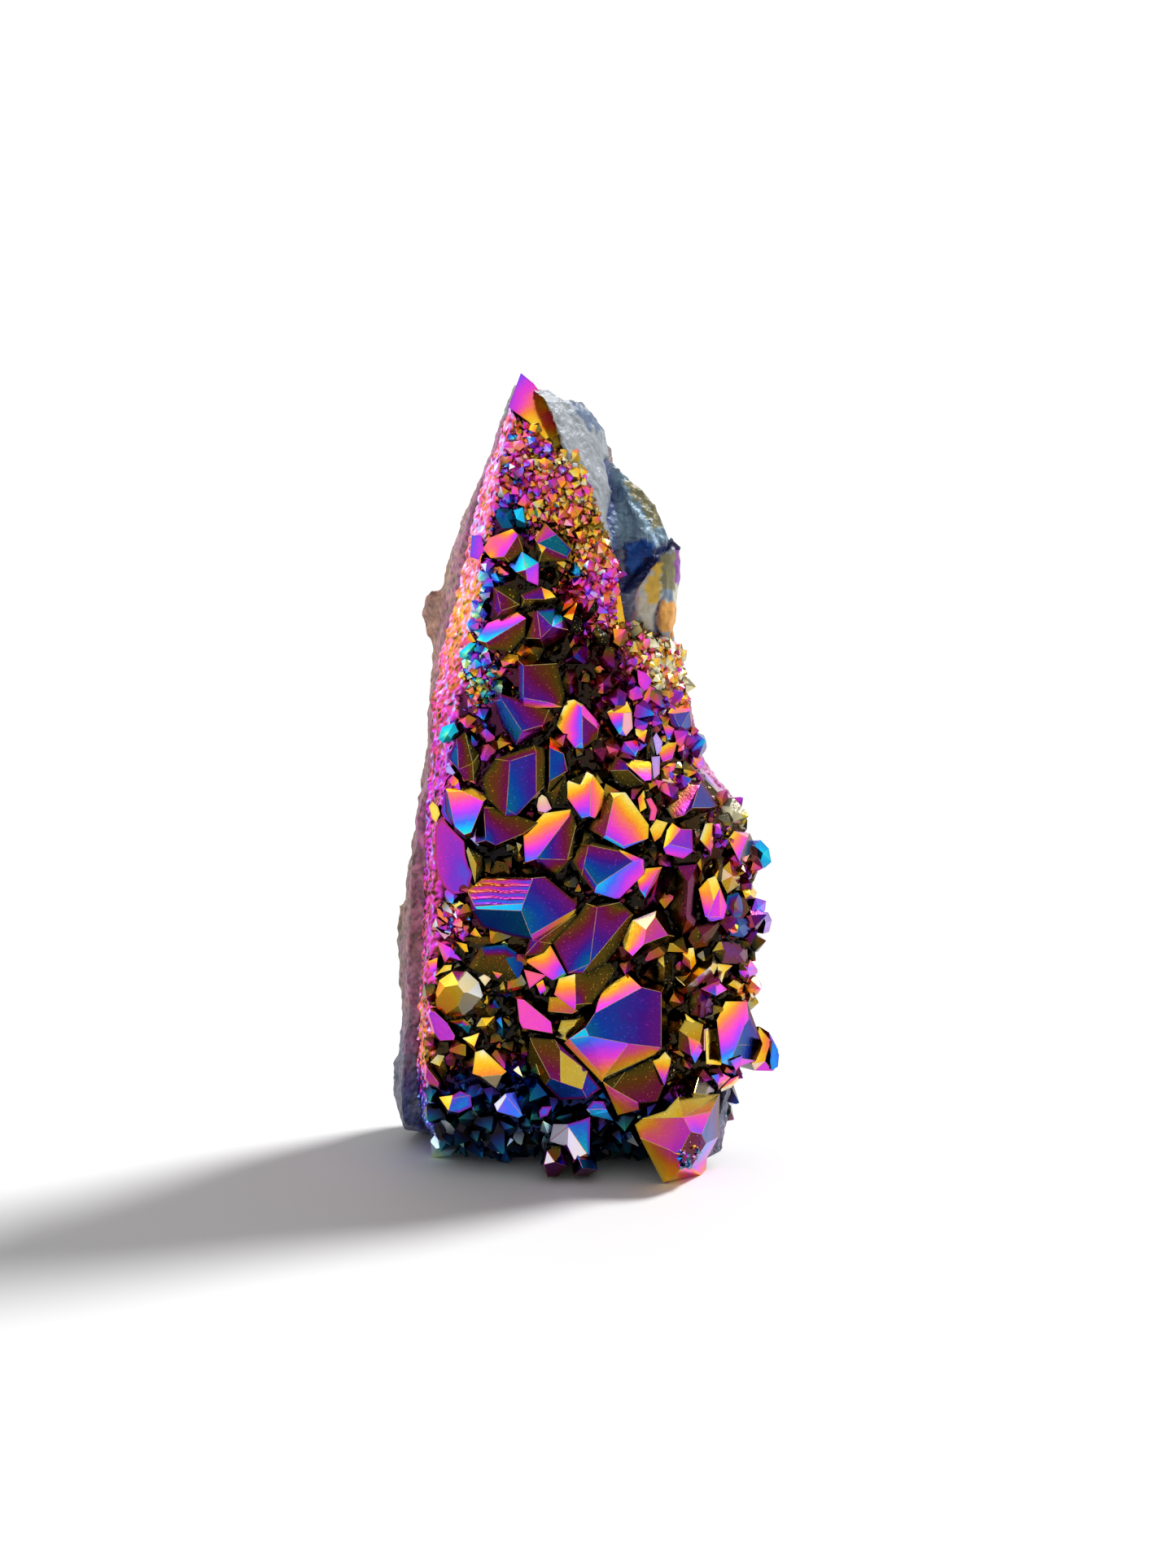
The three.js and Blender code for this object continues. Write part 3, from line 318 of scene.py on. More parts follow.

# %% [markdown]
# ## The large crystals
#
# Each row gives a name, an outline (x and z), the highest points (x, z and rise above the bed) and the
# facets. The outline's corners are called 0, 1, 2 and so on, the highest points A, B, C. A facet such as "01A
# bright 10,12,40" has its corners, its painted light (dark, mid, bright, pale or white), and the film at each
# corner in hundredths. Most of the facets are painted dark, as painted shade, so those name no light.

# %% Crystals that are cut facet by facet
RISE = 1.3  # one unit of rise, in mm
GIRDLE = 1.9  # how far a crystal's outline stands off the bed
GIRDLES = {"pearl_gem": 3.4, "pearl_foot": 4.4, "ink_foot": 4.4, "corner_point": 8}  # the four that differ
CUT_CRYSTALS = read_crystals("""
pink_chip: -19.6 119.4, -18.4 121.5, -14.2 123.1, -12.4 121.6, -12.2 118.9, -14.8 116.9, -18.2 117.7
  | -13.2 121.9 3.2, -15.7 117.9 3.4 | 012AB6 bright 35,30,12,62,58,22 | 234A 10,14,20,40 | A45B 40,15,15,30
  | 56B 20
teal_gem: -10.1 121.2, -8.2 124.1, -5.8 122.3, -3.4 119.2, -4 117.2, -9.4 116.9 | -9.6 120.4 2.8,
  -6.2 122 3.2, -4.2 117.9 3.2, -8.8 118.6 2.4, -8 119.6 3.1 | 01BA mid 20,35,60,56 | 12B 12,12,50
  | AB3CE 88,90,94,90,88 | B23 60,20,30 | AED bright 28,22,10 | EC45D 56,56,12,10,16 | 0AD5 10,20,12,8
  | C34 40
cyan_gem: -14.8 116.4, -12.5 118.9, -9.4 116.8, -9.5 112.6, -11.5 113.4, -13.5 115 | -11.7 115.4 4
  | 01A5 bright 64,76,96,82 | 12A bright 84,80,96 | A234 bright 64,60,48,58 | 5A4 20,60,40
olive_block: -17.8 108, -17.5 112, -15 112.8, -13 111.5, -13 109, -14.5 107.2, -17 106.8 | -16.9 110.9 2.8,
  -16.3 107.8 2.8 | 01AB6 60,50,52,56,58 | 1234 14,8,8,8 | 14BA 45,12,44,50 | 456B 10,14,50,45
purple_bar: -12.6 110.9, -9 112.4, -7.2 111.5, -6.3 110.4, -7.5 109, -12.5 108.6 | -12 110 2.8, -8.3 110 3,
  -8.8 112.1 2 | 01CBA 45,35,40,60,56 | 12C 10 | C23B bright 30,20,8,16 | AB345 20,16,8,6,6 | 0A5 20
long_blade: -20.8 102.4, -18.8 105.6, -13.4 107.6, -11.7 106.4, -12 103, -14.4 100.4, -18.6 100.6
  | -19 101.9 3.6, -12.4 106 3.4 | 0123BA bright 96,44,22,46,64,90 | AB3456 46,42,12,10,12,14 | 0A6 30
fork_gem: -11.5 107.6, -6.4 108.4, -4.6 106.2, -4 104.3, -4.8 102, -8.5 100.9, -11.8 102.8 | -9.7 107.8 3,
  -6.9 104.8 4.4, -9 102.6 2.8 | 01A 10 | A1B 88,86,92 | 12B bright 78,82,84 | 23B bright 64,58,72
  | 0AC6 10,45,50,10 | ABC 56,62,40 | 6C5 16,45,15 | CB345 50,58,46,22,20
maroon_slab: -13.2 98.6, -9 99.6, -6 98, -4.7 92.5, -5.2 89.9, -12.2 89.6, -13 91.5 | -12.2 91.6 3.8,
  -7.4 90.7 4.2, -12.2 97.6 2.8 | 0CA6 70,66,80,82 | 012C 12,10,10,32 | C234BA 40,10,10,22,52,62
  | AB45 bright 72,60,22,16 | A56 bright 74,30,60
blue_fan: -17.8 91, -16.5 92.4, -7.5 89.5, -6.6 88.2, -8.5 84.9, -13.6 82.8, -16 86 | -16.2 91.3 2.4,
  -12.5 85.4 3.8, -8.7 86.5 3.4 | 0AB56 74,72,84,80,78 | 01A 70 | 12CBA 55,10,42,74,66 | 23C 14,14,40
  | 3C4 20,36,12 | BC45 bright 62,46,40,50
left_maroon: -26.2 80.4, -24.6 84, -23 85.2, -20.5 81, -20.2 78.5, -21.5 76.2, -23 76 | -24.4 82.4 3,
  -24.2 78.2 3, -21.6 79.4 2.2 | 01AB 76,74,82,80 | 12CBA 46,10,12,48,52 | 23C 8 | 345C 8,8,10,14
  | BC56 58,16,10,52 | 0B6 60
tall_blue: -19.9 76.5, -17.5 80.2, -10.3 82.8, -8.2 82.2, -8.4 75, -10.5 72, -13.5 69.6, -15.6 69.4,
  -19.2 73 | -14.7 79.8 4, -15.4 70.8 4.6, -9.9 81.4 3.2, -9.9 73.6 3.8 | 01AB78 14,10,46,44,30,12
  | 12CA 10,10,46,50 | ACD6B 68,56,58,78,86 | B67 84,80,80 | 234DC 10,8,12,24,26 | D456 20,12,10,60
blue_post: -7.8 82.6, -7.4 84.6, -4.4 81.6, -4.2 78, -7.8 73.8, -8.6 76 | -7.4 82.3 3.6, -4.9 81.2 3.2,
  -7.5 76 3.2 | 12BA bright 8,10,28,38 | AB3C 72,74,62,80 | B23 10 | C34 14,12,10 | 01A 10,10,20
  | 0AC45 12,40,46,12,10
rainbow_fang: -26.7 74.6, -22 74.9, -18.7 73.2, -21.6 65.4, -23 65, -24.9 66.5, -26.9 70.4 | -21.9 66.4 4.4,
  -23.2 65.9 4.6, -24.9 67.4 3.6, -19.6 72.2 2.6, -23.6 74.2 1.6, -26.4 74 1.2
  | FEDABC bright 30,28,50,90,94,80 | 01EF bright 14,10,20,24 | 12DE mid 8,8,26,20 | 23AD 30,20,12,60
  | A34B 20 | B45C 40 | C56 70 | 60FC 72,70,74,76
violet_skirt: -20 72, -17.8 71, -9.5 68.2, -11.5 66, -17.5 63, -21.6 64.2 | -19.6 71 2, -19.2 64.9 3,
  -17.4 64 3.2, -12.4 66.1 2.4 | A12DCB 44,10,10,30,62,80 | 01A 20 | 0AB5 50,50,70,60 | BC45 72,60,14,30
  | CD34 40,20,8,8 | D23 20,10,8
gold_roof: -12.3 65.8, -8.5 70, -3.6 70.7, -2.6 68, -3.3 61.8, -6 58.4, -9.2 59.3, -12 60.7 | -3.9 69.4 3.2,
  -9.9 61.4 4.6, -4.2 61.2 2.2 | 012AB7 bright 22,4,8,34,72,76 | A23CB 40,12,8,34,90 | 34C 8,8,18
  | BC456 66,36,8,8,50 | B67 60
sail: -4.4 91, -6.2 86.6, -2.8 82.3, -1.3 82.2, 1.3 84, 1.9 86.6, -1.4 90.4, -3 91.3 | -1.5 89.8 4.2,
  -1.4 83.4 4.6, 1.5 85.8 1, -1.45 88.4 4.2 | 012BDA7 bright 2,8,60,80,74,72,8 | B23 bright 82,75,85
  | A65CD bright 46,46,46,48,48 | DC43B 54,40,12,36,58 | C54 20 | 67A mid 10
glare_chip: 3.1 89, 6.8 91, 7.6 89, 7.8 86, 6.6 84.5, 5.4 84.8, 4 87 | 6.1 88.8 3, 5.9 85.6 3.6
  | 012A bright 8,6,12,20 | 0AB56 bright 18,44,86,92,56 | A234B pale 34,32,34,36,36 | B45 bright 70
gold_tooth: 8.3 85.9, 10.5 85.7, 10.3 82.7, 9.3 83.2, 8.4 84.8 | 9.9 83.4 2.8 | 01A4 bright 3,14,46,4
  | 12A bright 36,50,52 | 23A bright 60,50,58 | 34A bright 8,4,46
blue_kite: 6.3 83.4, 8.6 83.8, 9 82.2, 8.3 80.6, 5.4 81.7 | 6.7 82.9 2.8, 8.2 81.2 3.2
  | 012BA bright 46,42,60,78,50 | 0AB34 mid 68,66,76,82,72 | 23B bright 80
rose_tooth: 12.4 82, 14.5 83.3, 16.1 83.4, 15.6 80, 13.4 79.7 | 15.2 80.4 3 | 012A4 bright 10,8,16,56,54
  | 23A 30,40,50 | 34A bright 60
pink_tooth: 13.2 87.4, 15.7 86, 15.2 83.9, 14.3 83.9 | 14.8 84.2 2.8 | 01A3 bright 2,38,80,82 | 12A 40,45,50
  | 23A bright 88
navy_cheek: 14.4 89, 15.5 90.6, 19 90.4, 19.1 86, 16.8 85.2, 15 86.8 | 15.4 88.8 2.8, 18.6 89.4 2.8,
  16.8 86 3 | 012BA bright 14,10,40,46,36 | ABC 62,64,74 | B23 60,50,66 | B34C 66,74,74,74
  | 0AC45 60,64,74,70,60
side_tooth: 19 80.7, 21.2 80.4, 21.6 79, 20.3 78.4, 19.2 79.2 | 20 79.2 2.6 | 01A bright 8,40,42
  | 0A34 bright 8,40,40,12 | 12A bright 55,62,56 | 23A bright 64,44,50
magenta_fin: 6.5 79.3, 8 80.1, 11.3 79.7, 11.5 76, 10 75.4, 8 77.1 | 10 76.1 3.6, 11.2 76.3 3.2
  | 012BA bright 14,6,10,56,62 | 23B 20 | 34AB bright 60,64,62,60 | 0A45 60,64,40,50
violet_shard: 3.6 78, 4.8 80.8, 6.6 79.6, 10 75.4, 6.8 74.8, 4.6 76.2 | 7 78.1 3 | 012A 20,30,66,70
  | 23A 60,68,66 | 0A345 10,14,10,8,10
yellow_star: -5.2 74.3, -4 76.1, -0.6 77.8, 0.5 77.2, 3.3 73.2, 0.9 69.1, -1.6 69.1 | 0.15 75.8 2.6,
  -0.05 69.5 4.2, -1.8 75.3 1.8 | 01CAB6 bright 8,0,14,30,72,76 | C23A bright 10,0,4,26 | 12C 8
  | 345BA bright 8,10,34,60,36 | 56B bright 76
pink_sail: -0.6 67.2, 3.7 73.9, 6.5 73.9, 10.8 67.8, 10.7 65.2, 6.2 63.3, 2.4 65.4 | 4.3 72.8 3.4,
  2.8 65.9 5, 6 63.9 4.6 | A234CB bright 24,2,12,22,58,64 | 01AB6 18,8,16,52,46 | 12A bright 4,4,12
  | 45C bright 70 | 56BC bright 80
purple_hex: 13.5 63.4, 14.2 66.8, 15.2 68.2, 18.8 66.9, 19 62.8, 17.2 61.4, 14 62.3 | 16.7 67 3.4,
  14.5 64.2 3.6, 18.6 63.2 3.6 | A34CB mid 54,60,66,64,58 | 012AB bright 12,8,18,44,24 | 23A 20,20,50
  | BC4560 bright 66,64,58,46,46,60
olive_roof: 14 71, 15.6 75.5, 20.8 76.2, 23.9 71.4, 22.8 70, 18.5 69.1, 15.2 69 | 20.3 75.2 4.6,
  18.8 71 4.4, 17.3 69.6 3.2, 22.6 71 3 | 01AC6 8,4,38,52,34 | ABC bright 60,64,62 | 12A 10,30,50
  | A23DB 60,60,60,68,72 | BD45C 20,18,12,10,15 | 34D 30 | C56 30
yellow_spike: 21.4 68, 22.7 68.1, 22.9 64, 22.3 61.9, 20.3 65 | 22.3 62.8 2.8 | 01A4 bright 0,12,46,0
  | 123A bright 14,30,50,46 | 4A3 60
kite_right: 25.8 65, 27 66.5, 30.1 66, 31 64, 29 60, 27.4 60 | 29.6 65.2 3.2, 27.7 61 3.6
  | 01AB bright 12,12,50,62 | 0B5 50 | 12A pale 40 | 234BA 30,20,12,46,46 | B45 20
mid_purple: -3.6 61.5, -0.8 64.9, 5.4 63.2, 9.9 61.2, 10 58.6, 5.2 53.6, 0.8 55, -1.6 58.2 | -0.3 64 2.4,
  -1.2 60 3.6, 1.2 56.4 4.4, 9.4 61.1 3.6, 5.6 62.7 2.6, 7.9 60.9 3.6 | AEFCB 40,42,64,86,78
  | A12E 20,8,8,20 | E23DF bright 8,10,44,60,58 | CFD456 bright 84,68,56,46,56,76 | D34 bright 50
  | 01AB7 10,8,34,52,14 | BC67 72,84,50,20
sunset_tooth: 8.7 57.6, 10.2 59.5, 13.3 59.8, 12.2 57, 10.2 53.9, 9.1 55.6 | 10.2 54.7 3.8, 12.6 59.2 1.6
  | 012BA5 bright 8,6,10,36,80,46 | B234A mid 40,36,40,60,66 | 5A4 bright 80
pink_hood: 20.1 55.6, 21.8 57.5, 23.3 58.1, 25.5 52.2, 24.9 49.9, 22.1 49.2, 21.3 50.4 | 22.9 53.3 3.8,
  21.8 50.2 3.2, 24.1 55.8 2.4, 24.2 50.3 3.4 | 12CA bright 6,4,12,14 | 01AB6 bright 20,12,36,60,62
  | ACDB bright 54,46,50,62 | C234D bright 30,20,50,56,50 | BD45 bright 64,56,60,66 | B56 bright 66
ribbed_blue: -22.8 55.4, -19.5 57.9, -10 58.5, -8.2 58, -2 52.6, -2.6 50.7, -10.5 46, -15 46.8, -20 48.3,
  -22 51.5 | -10.5 57.8 4.6, -12.3 53 5.6, -12.7 51.6 5.6, -21.4 52.3 3.2, -21 51.8 3, -11 46.9 4.4,
  -2.7 51.8 1.6 | 01ABD mid 20,12,44,60,60 | 12A 12,12,40 | DBCE bright 86,80,80,86
  | ECF6789 74,82,88,80,78,72,72 | A34GFCB 56,48,44,48,84,86,76 | 23A 20 | 45G 8 | G56F mid 10,10,52,56
  | 0DE9 60
ribbed_skirt: -12.2 42.8, -11.2 46, -6.8 48.6, -2.6 50.9, -2.4 50.3, -7.2 45.2, -8.8 43 | -9.8 45.6 1.4
  | 01A 54,58,52 | 123A 58,30,12,46 | 345A 8,8,8,40 | 560A 8,18,50,46
heart_pair: -7.2 45.2, -2.4 50.4, -0.8 52.9, 5.6 53.1, 8 50.8, 5.4 44.8, 2.4 40.8, -1.5 39.6, -4.2 39.5
  | 1.3 52.2 3.4, -0.1 41.4 5, 7.1 50.3 2.4 | 012AB8 26,12,10,34,88,66 | A34CB 40,8,12,46,80 | 23A 8,8,30
  | C4567B 14,8,8,10,12,20 | B78 84,66,66
flare: 5.9 46.6, 7.9 49.7, 12.2 51.5, 14 51.1, 15.6 46.6, 15 45.1, 9 42.9, 7.5 42.1, 6.3 44.2 | 10.3 48 4.6,
  7.8 42.9 3.6, 12 50.4 3.8, 14.4 46.9 2.6, 9.9 45.2 3.8 | 01AEB8 bright 0,4,40,54,58,8
  | 12CA pale 20,20,6,6 | ACDE mid 38,36,48,50 | C234D 25,20,10,10,40 | ED456B 10,10,8,8,8,10
  | B78 bright 60 | B67 15
sunset_wing: -12.2 41.9, -8.6 43.4, -7.4 44.9, -4 39, -7 38.2 | -4.6 39.7 3 | 012A4 bright 20,12,16,74,60
  | 23A 50,60,70 | 34A bright 82
gold_prow: -6.7 35.4, -5.8 38.5, -2.8 39.4, 3.6 41.6, 4.9 40.2, 0.4 33.8, -2.8 32.5 | -2.8 39 2.6,
  -2.7 33.6 4.4 | 012AB6 bright 32,6,0,2,54,54 | 2345BA 10,8,10,14,54,16 | 56B 10
coral_block: -7.9 32.2, -7.6 34.9, -5.4 34.9, -2.3 32.4, -3 30.6 | -3.4 31.8 3 | 0123A mid 26,14,14,34,38
  | 34A 20 | 40A 20
olive_scoop: -6 28.4, -5.4 30.4, -2.6 30.6, -1.2 31.2, -0.9 30, -1.8 28.9, -3.6 28, -4.8 27.2 | -3 29.4 2
  | 012A mid 12,8,8,14 | 2345A mid 10,18,20,12,14 | 567A mid 12,30,14,14 | 70A mid 10
pink_plate: -14.1 35, -12.4 35.2, -7 30.6, -6.5 27.4, -12.8 28.4, -13.6 30 | -13.6 34.6 3, -12.2 34.4 3.1,
  -7.3 30.2 3.4, -7 28 3.4, -12.6 29 3.1, -13.2 30.3 3 | ABCDEF bright 44,46,48,48,47,46 | 01BA bright 50
  | 12CB 40 | 23DC 40 | 34ED mid 30 | 45FE 30 | 50AF 40
great_blue: -4.8 26.2, -1 30.4, 1.3 33.6, 2.6 36.8, 7 39.3, 13.8 37, 14.9 26, 12 24, 2.2 18.5 | 0.9 32 3.8,
  9.6 36.9 3.6, 13.2 36 3.4, 13.2 25.4 4.6, 7.1 26.2 6.2, -0.2 27.6 5.4, -0.9 29.2 4.6, -3.9 27 3.6,
  2.5 19.4 3.6 | ABCDEFG 74,60,52,50,66,84,84 | 234BA bright 44,4,10,44,52 | 12AG 20,30,60,70
  | 45CB 12,8,38,42 | 56DC 8,8,14,20 | ED7I mid 50,46,16,12 | D67 10 | FEIH bright 78,60,20,82
  | GFH bright 84,80,86 | 01GH 40,30,60,50 | 0HI8 mid 34,36,24,20 | I78 8
torch: 11.7 22.6, 12.8 23, 14 24.3, 15.1 23, 15 22, 13.9 17.9, 13 18 | 13.5 18.8 3.4
  | 01234A bright 14,8,0,6,14,62 | 45A bright 40,60,62 | 560A 60,50,30,60
orchid_keel: 2.4 18.6, 6.5 20.4, 11.8 23.2, 13.9 18, 12.6 14.8, 9.2 13.2, 5.2 12 | 4.2 17.3 3.4, 9 14.5 4.2
  | 01A 12 | A1234B 24,12,8,38,40,44 | 0AB56 bright 22,46,54,32,14 | B45 20
olive_hull: -11.2 27.2, -6.6 26.8, -1.6 21.8, 2 17.2, -0.6 15.4, -5.6 15, -8.4 18, -11.8 22.5 | -5.6 24.8 4,
  -5.5 18.6 4.6, -10.6 25.6 2.8, -7.4 19.4 4, -1.5 17.2 3.6, -0.5 20.6 3 | 01ABDC 18,16,20,46,44,20
  | AFEB mid 12,10,10,12 | 12FA 70,74,74,60 | 234EF 78,78,76,60,72 | DBE456 76,72,70,74,76,78
  | 70CD6 10,8,16,20,12
gold_edge: -11.2 20.4, -10.6 23.6, -8.3 19.8, -8.1 18.6, -9.8 19.4 | -9.4 20 3.4 | 01A bright 8,2,12
  | 12A bright 2,14,12 | 23A mid 10 | 34A bright 14,12,12 | 40A bright 10
amber_gem: -22 20.1, -21.5 24.2, -20 24.7, -15.6 20.6, -17.6 17.2, -20.3 18.6 | -20.4 19.6 3.4, -16.4 20 3.2
  | 0123BA bright 22,8,0,24,28,28 | AB4 pale 10,14,4 | A45 pale 8 | B34 10 | 0A5 bright 25
amber_fin: -23.9 26.9, -22.4 27.3, -20.7 28, -20.6 26.8, -21.5 24.3 | -21.6 25.4 2.8 | 012A bright 0,6,10,16
  | 04A bright 4,14,16 | 234A mid 60,80,70,60
orchid_plate: -30.6 31.4, -30.1 32.6, -28.8 32.2, -26.4 30, -24.9 27.6, -25.1 26.2, -28.3 26, -29.4 27.8
  | -30.2 31.5 2.4, -29.8 32.1 2.4, -28.9 31.9 2.5, -26.7 29.8 2.6, -25.3 27.5 2.6, -25.5 26.6 2.6,
  -28.1 26.4 2.4, -29.1 27.9 2.4 | ABCDEFGH bright 58,58,56,55,54,54,53,54 | 01BA bright 50 | 12CB mid 60
  | 23DC 40 | 34ED 40 | 45FE bright 60 | 56GF mid 50 | 67HG mid 50 | 70AH bright 45
rose_plate: -31.2 18.8, -31.1 21.9, -30.3 21.5, -28 18.4, -28.3 16.8, -30.4 17.8 | -30.9 19.2 2.3,
  -30.7 21.2 2.2, -28.4 18.2 2.6, -28.6 17.3 2.6, -30.2 18.1 2.4 | ABCDE bright 46,52,44,38,38
  | 01BA bright 40 | 12B bright 60 | B23C 40 | 34DC bright 40 | 45ED bright 34 | 50AE bright 40
steel_boat: -28.4 15.3, -25.8 15.8, -24.4 16.6, -22.4 15.8, -22.2 13.6, -24.6 12.4, -26.9 12 | -26.6 12.8 3,
  -25.9 15.2 2.2 | 01BA bright 12,8,12,22 | 0A6 bright 18 | 123B mid 60,68,72,70 | B345A mid 66,74,78,80,76
  | 56A mid 76
ice_gem: -18 14.2, -15.8 16.3, -14.1 16.4, -12.7 11.9, -13.5 11.5, -17.7 12.3 | -15.6 15.8 2.8,
  -17.4 12.8 3.2 | 01AB white 66,68,66,70 | 123A bright 70,70,76,70 | A34B bright 70,76,76,72 | 0B5 mid 70
  | B45 mid 74
ice_wing: -0.7 13.2, 0.6 14.8, 2.5 14.7, 3.2 12.9, 4.4 10.9, 0.1 12.1 | 2.8 13.3 3, -0.2 13.2 3
  | 0123AB mid 72,70,70,72,74,74 | BA345 bright 78,76,78,80,80 | 0B5 white 70
pearl_gem: -7.6 7, -6.9 10.4, -4.3 10.5, -1.6 11.2, 0 11.8, -0.1 4.6, -0.3 3, -3.2 3, -4.8 6.3
  | -4.1 10.1 4.6, -0.6 4.8 5.4, -4.3 6.4 5, -3 3.6 5.2 | 012A white 64,62,60,60 | 0AC8 white 64,62,62,64
  | ABDC white 60,14,40,60 | 2345BA mid 70,70,68,88,90,76 | B56 80 | B67D bright 14,12,40,46 | CD78 mid 70
pearl_foot: -9.4 2.6, -8.4 5.8, -7 6.2, -5.4 6.2, -4.4 2.4, -6 0.2, -8 0.2 | -8 5.5 5.4, -6.6 3.4 6,
  -8.6 2.9 5.8, -5.6 4.6 5.8 | 01AC white 62,60,60,64 | ABC white 60,12,62 | 12A 40 | A23DB 20,10,10,16,30
  | D34B 70 | B456C 50,40,40,44,50 | C60 50
ink_foot: -3.4 2.6, -2.4 4.4, 0.4 3.4, 1.4 1.6, -0.4 0.2, -3 0.4 | -1.4 2.2 6, -2.2 4 5.6
  | 01BA mid 70,74,74,76 | 12B mid 80 | B23A bright 76,74,70,78 | A345 50,46,40,44 | 05A 60
corner_point: 8.3 10.8, 9.3 8.3, 13.7 -0.9, 19 -1.4, 21.4 -1, 21.9 0.4, 22.1 3, 24.3 7.2, 24.4 15.4,
  16.4 16, 14 13.4, 9.8 12 | 14.9 6 10.8, 16.4 5 11.2, 17 2.3 11.2, 18.9 2.3 11.2, 20.3 4.6 11.3,
  21.7 6.7 11, 20.8 8.7 11, 18.7 9.5 11, 17.3 12.2 9.5, 22.7 12.6 9, 15.2 -0.1 9.2, 21 -0.5 9
  | 01ABHIb mid 16,34,48,54,54,44,14 | bI9a mid 8,18,6,8 | 12KCBA bright 14,6,14,30,48,44
  | K23C bright 6,60,54,30 | 3LDC bright 60,18,36,44 | 34L bright 74 | DL56 bright 66,30,20,46
  | D67FE bright 64,46,58,78,76 | L45 bright 10 | F78JG 76,56,52,56,80 | IHGJ bright 44,62,62,38
  | IJ8 mid 34,30,12 | I89 mid 26,10,8 | BCDEFGH 30,34,40,36,44,40,34
royal_point: 23.7 30.3, 25.4 33.8, 29.6 33.5, 33 24.6, 31.6 21.6, 27.6 20.6, 24.7 22 | 30 30 3.6,
  27.7 25.2 5, 26.7 22.9 5.2, 29.1 28.8 4.2 | 012ADBC6 bright 20,6,38,56,58,68,82,80 | A23BD 60,60,62,82,72
  | B34C 84,60,60,86 | C45 bright 58,52,50 | C56 bright 80,60,84
east_point: 30.8 21, 32.3 28.2, 34.2 27, 36 23.5, 36 20.8, 35 19.4, 31.5 19.4 | 33.3 21.4 3.8, 34.5 25.2 3
  | 01BA bright 8,8,34,20 | 0A6 pale 20 | 12B bright 30,50,40 | B2345A bright 60,76,84,84,80,66
  | A56 bright 50
magenta_knot: 16.6 28.6, 18 31, 21.1 29.6, 21.3 25, 19.6 22, 18.6 22.6, 16.4 25 | 18.3 27.3 3, 20.4 26.3 3,
  18.9 23.6 3 | 012BA mid 8,6,14,22,14 | ABC bright 30,26,60 | B23 bright 20,36,30 | B34C bright 34,46,80,70
  | C456 bright 78,80,50,40 | 06CA 20,20,60,24
violet_keel: 22.8 19.4, 24.8 19.8, 26.6 18.6, 24.3 16 | 24.1 17.6 3.2 | 01A bright 82,56,64
  | 12A bright 50,34,46 | 23A bright 24,30,48 | 30A bright 60,84,70
peach_keel: 24.8 16.2, 26.6 18.2, 28.2 18.8, 28.6 18, 26.8 16.2, 25 15.6 | 26.8 17.3 2.6
  | 012A bright 22,46,36,26 | 234A bright 30,16,10,22 | 450A pale 10,10,10,20
olive_brow: 17 16.2, 18 19, 20.4 19.6, 23 18.6, 23.6 16, 22.4 13.8, 19 13 | 19.4 16.6 6.4, 21.6 16 6.4
  | 01A 10 | 12A 12,10,16 | 23BA 10,10,14,14 | 34B 74,60,20 | 45B 10,10,14 | 56AB 8,8,12,12 | 60A 8,8,12
gold_fork: 16.8 44.1, 19.2 44.4, 19.7 41.4, 18.8 40.2, 17 41.5 | 18.6 42 2.8, 17.4 43 1
  | 01AB bright 12,0,14,16 | 12A bright 4,14,12 | 23A bright 16,20,16 | 34BA bright 34,46,20,18 | 04B 30
gold_crescent: 15.8 38.8, 17.8 39, 21.4 41.9, 22.6 42, 23.8 41, 20.8 38.2, 18.2 35.9, 16.8 36, 15.9 37
  | 17.6 37.2 3.2, 21.8 40.6 3.2 | 012BA bright 4,8,10,12,14 | 23B bright 6 | 34B bright 2,6,10
  | B45A bright 12,4,10,16 | A56 bright 18,20,38 | 67A bright 36,30,22 | 780A bright 14,0,2,12
gold_flag: 23.8 41.2, 26.7 40.7, 25.8 39.2, 24.6 37.5, 23.9 38.8 | 25.2 39.6 2.6 | 01A bright 8,22,14
  | 12A 20 | 23A 20,14,14 | 340A bright 4,2,4,12
violet_pair: 20.6 36.5, 23.6 38, 25.7 36.1, 24.4 34.8, 23.2 34.3 | 23.5 37.4 3, 23.5 35.2 3.2
  | 01AB mid 46,50,52,80 | 0B4 mid 50,80,80 | 12BA bright 48,52,60,54 | 23B bright 60 | 34B bright 80
violet_knee: 28 41.2, 30.3 41.6, 31.9 39, 30.8 37.8, 29.6 37.2, 28.2 38.3 | 29.8 40.6 2.8, 30 38.3 3.2
  | 01A 16,10,30 | 0AB45 14,40,46,20,10 | 12BA bright 40,62,60,50 | 23B bright 60,50,56 | 34B bright 44
""")
print("crystals cut facet by facet:", len(CUT_CRYSTALS))

# %% [markdown]
# ## Flakes and chips with one flat face
#
# Between the large points lie broken flakes that show a single face. Each row has an outline, a tone, how
# high the flake stands and the film at its corners. The first is the coated flake at the tower's tip.

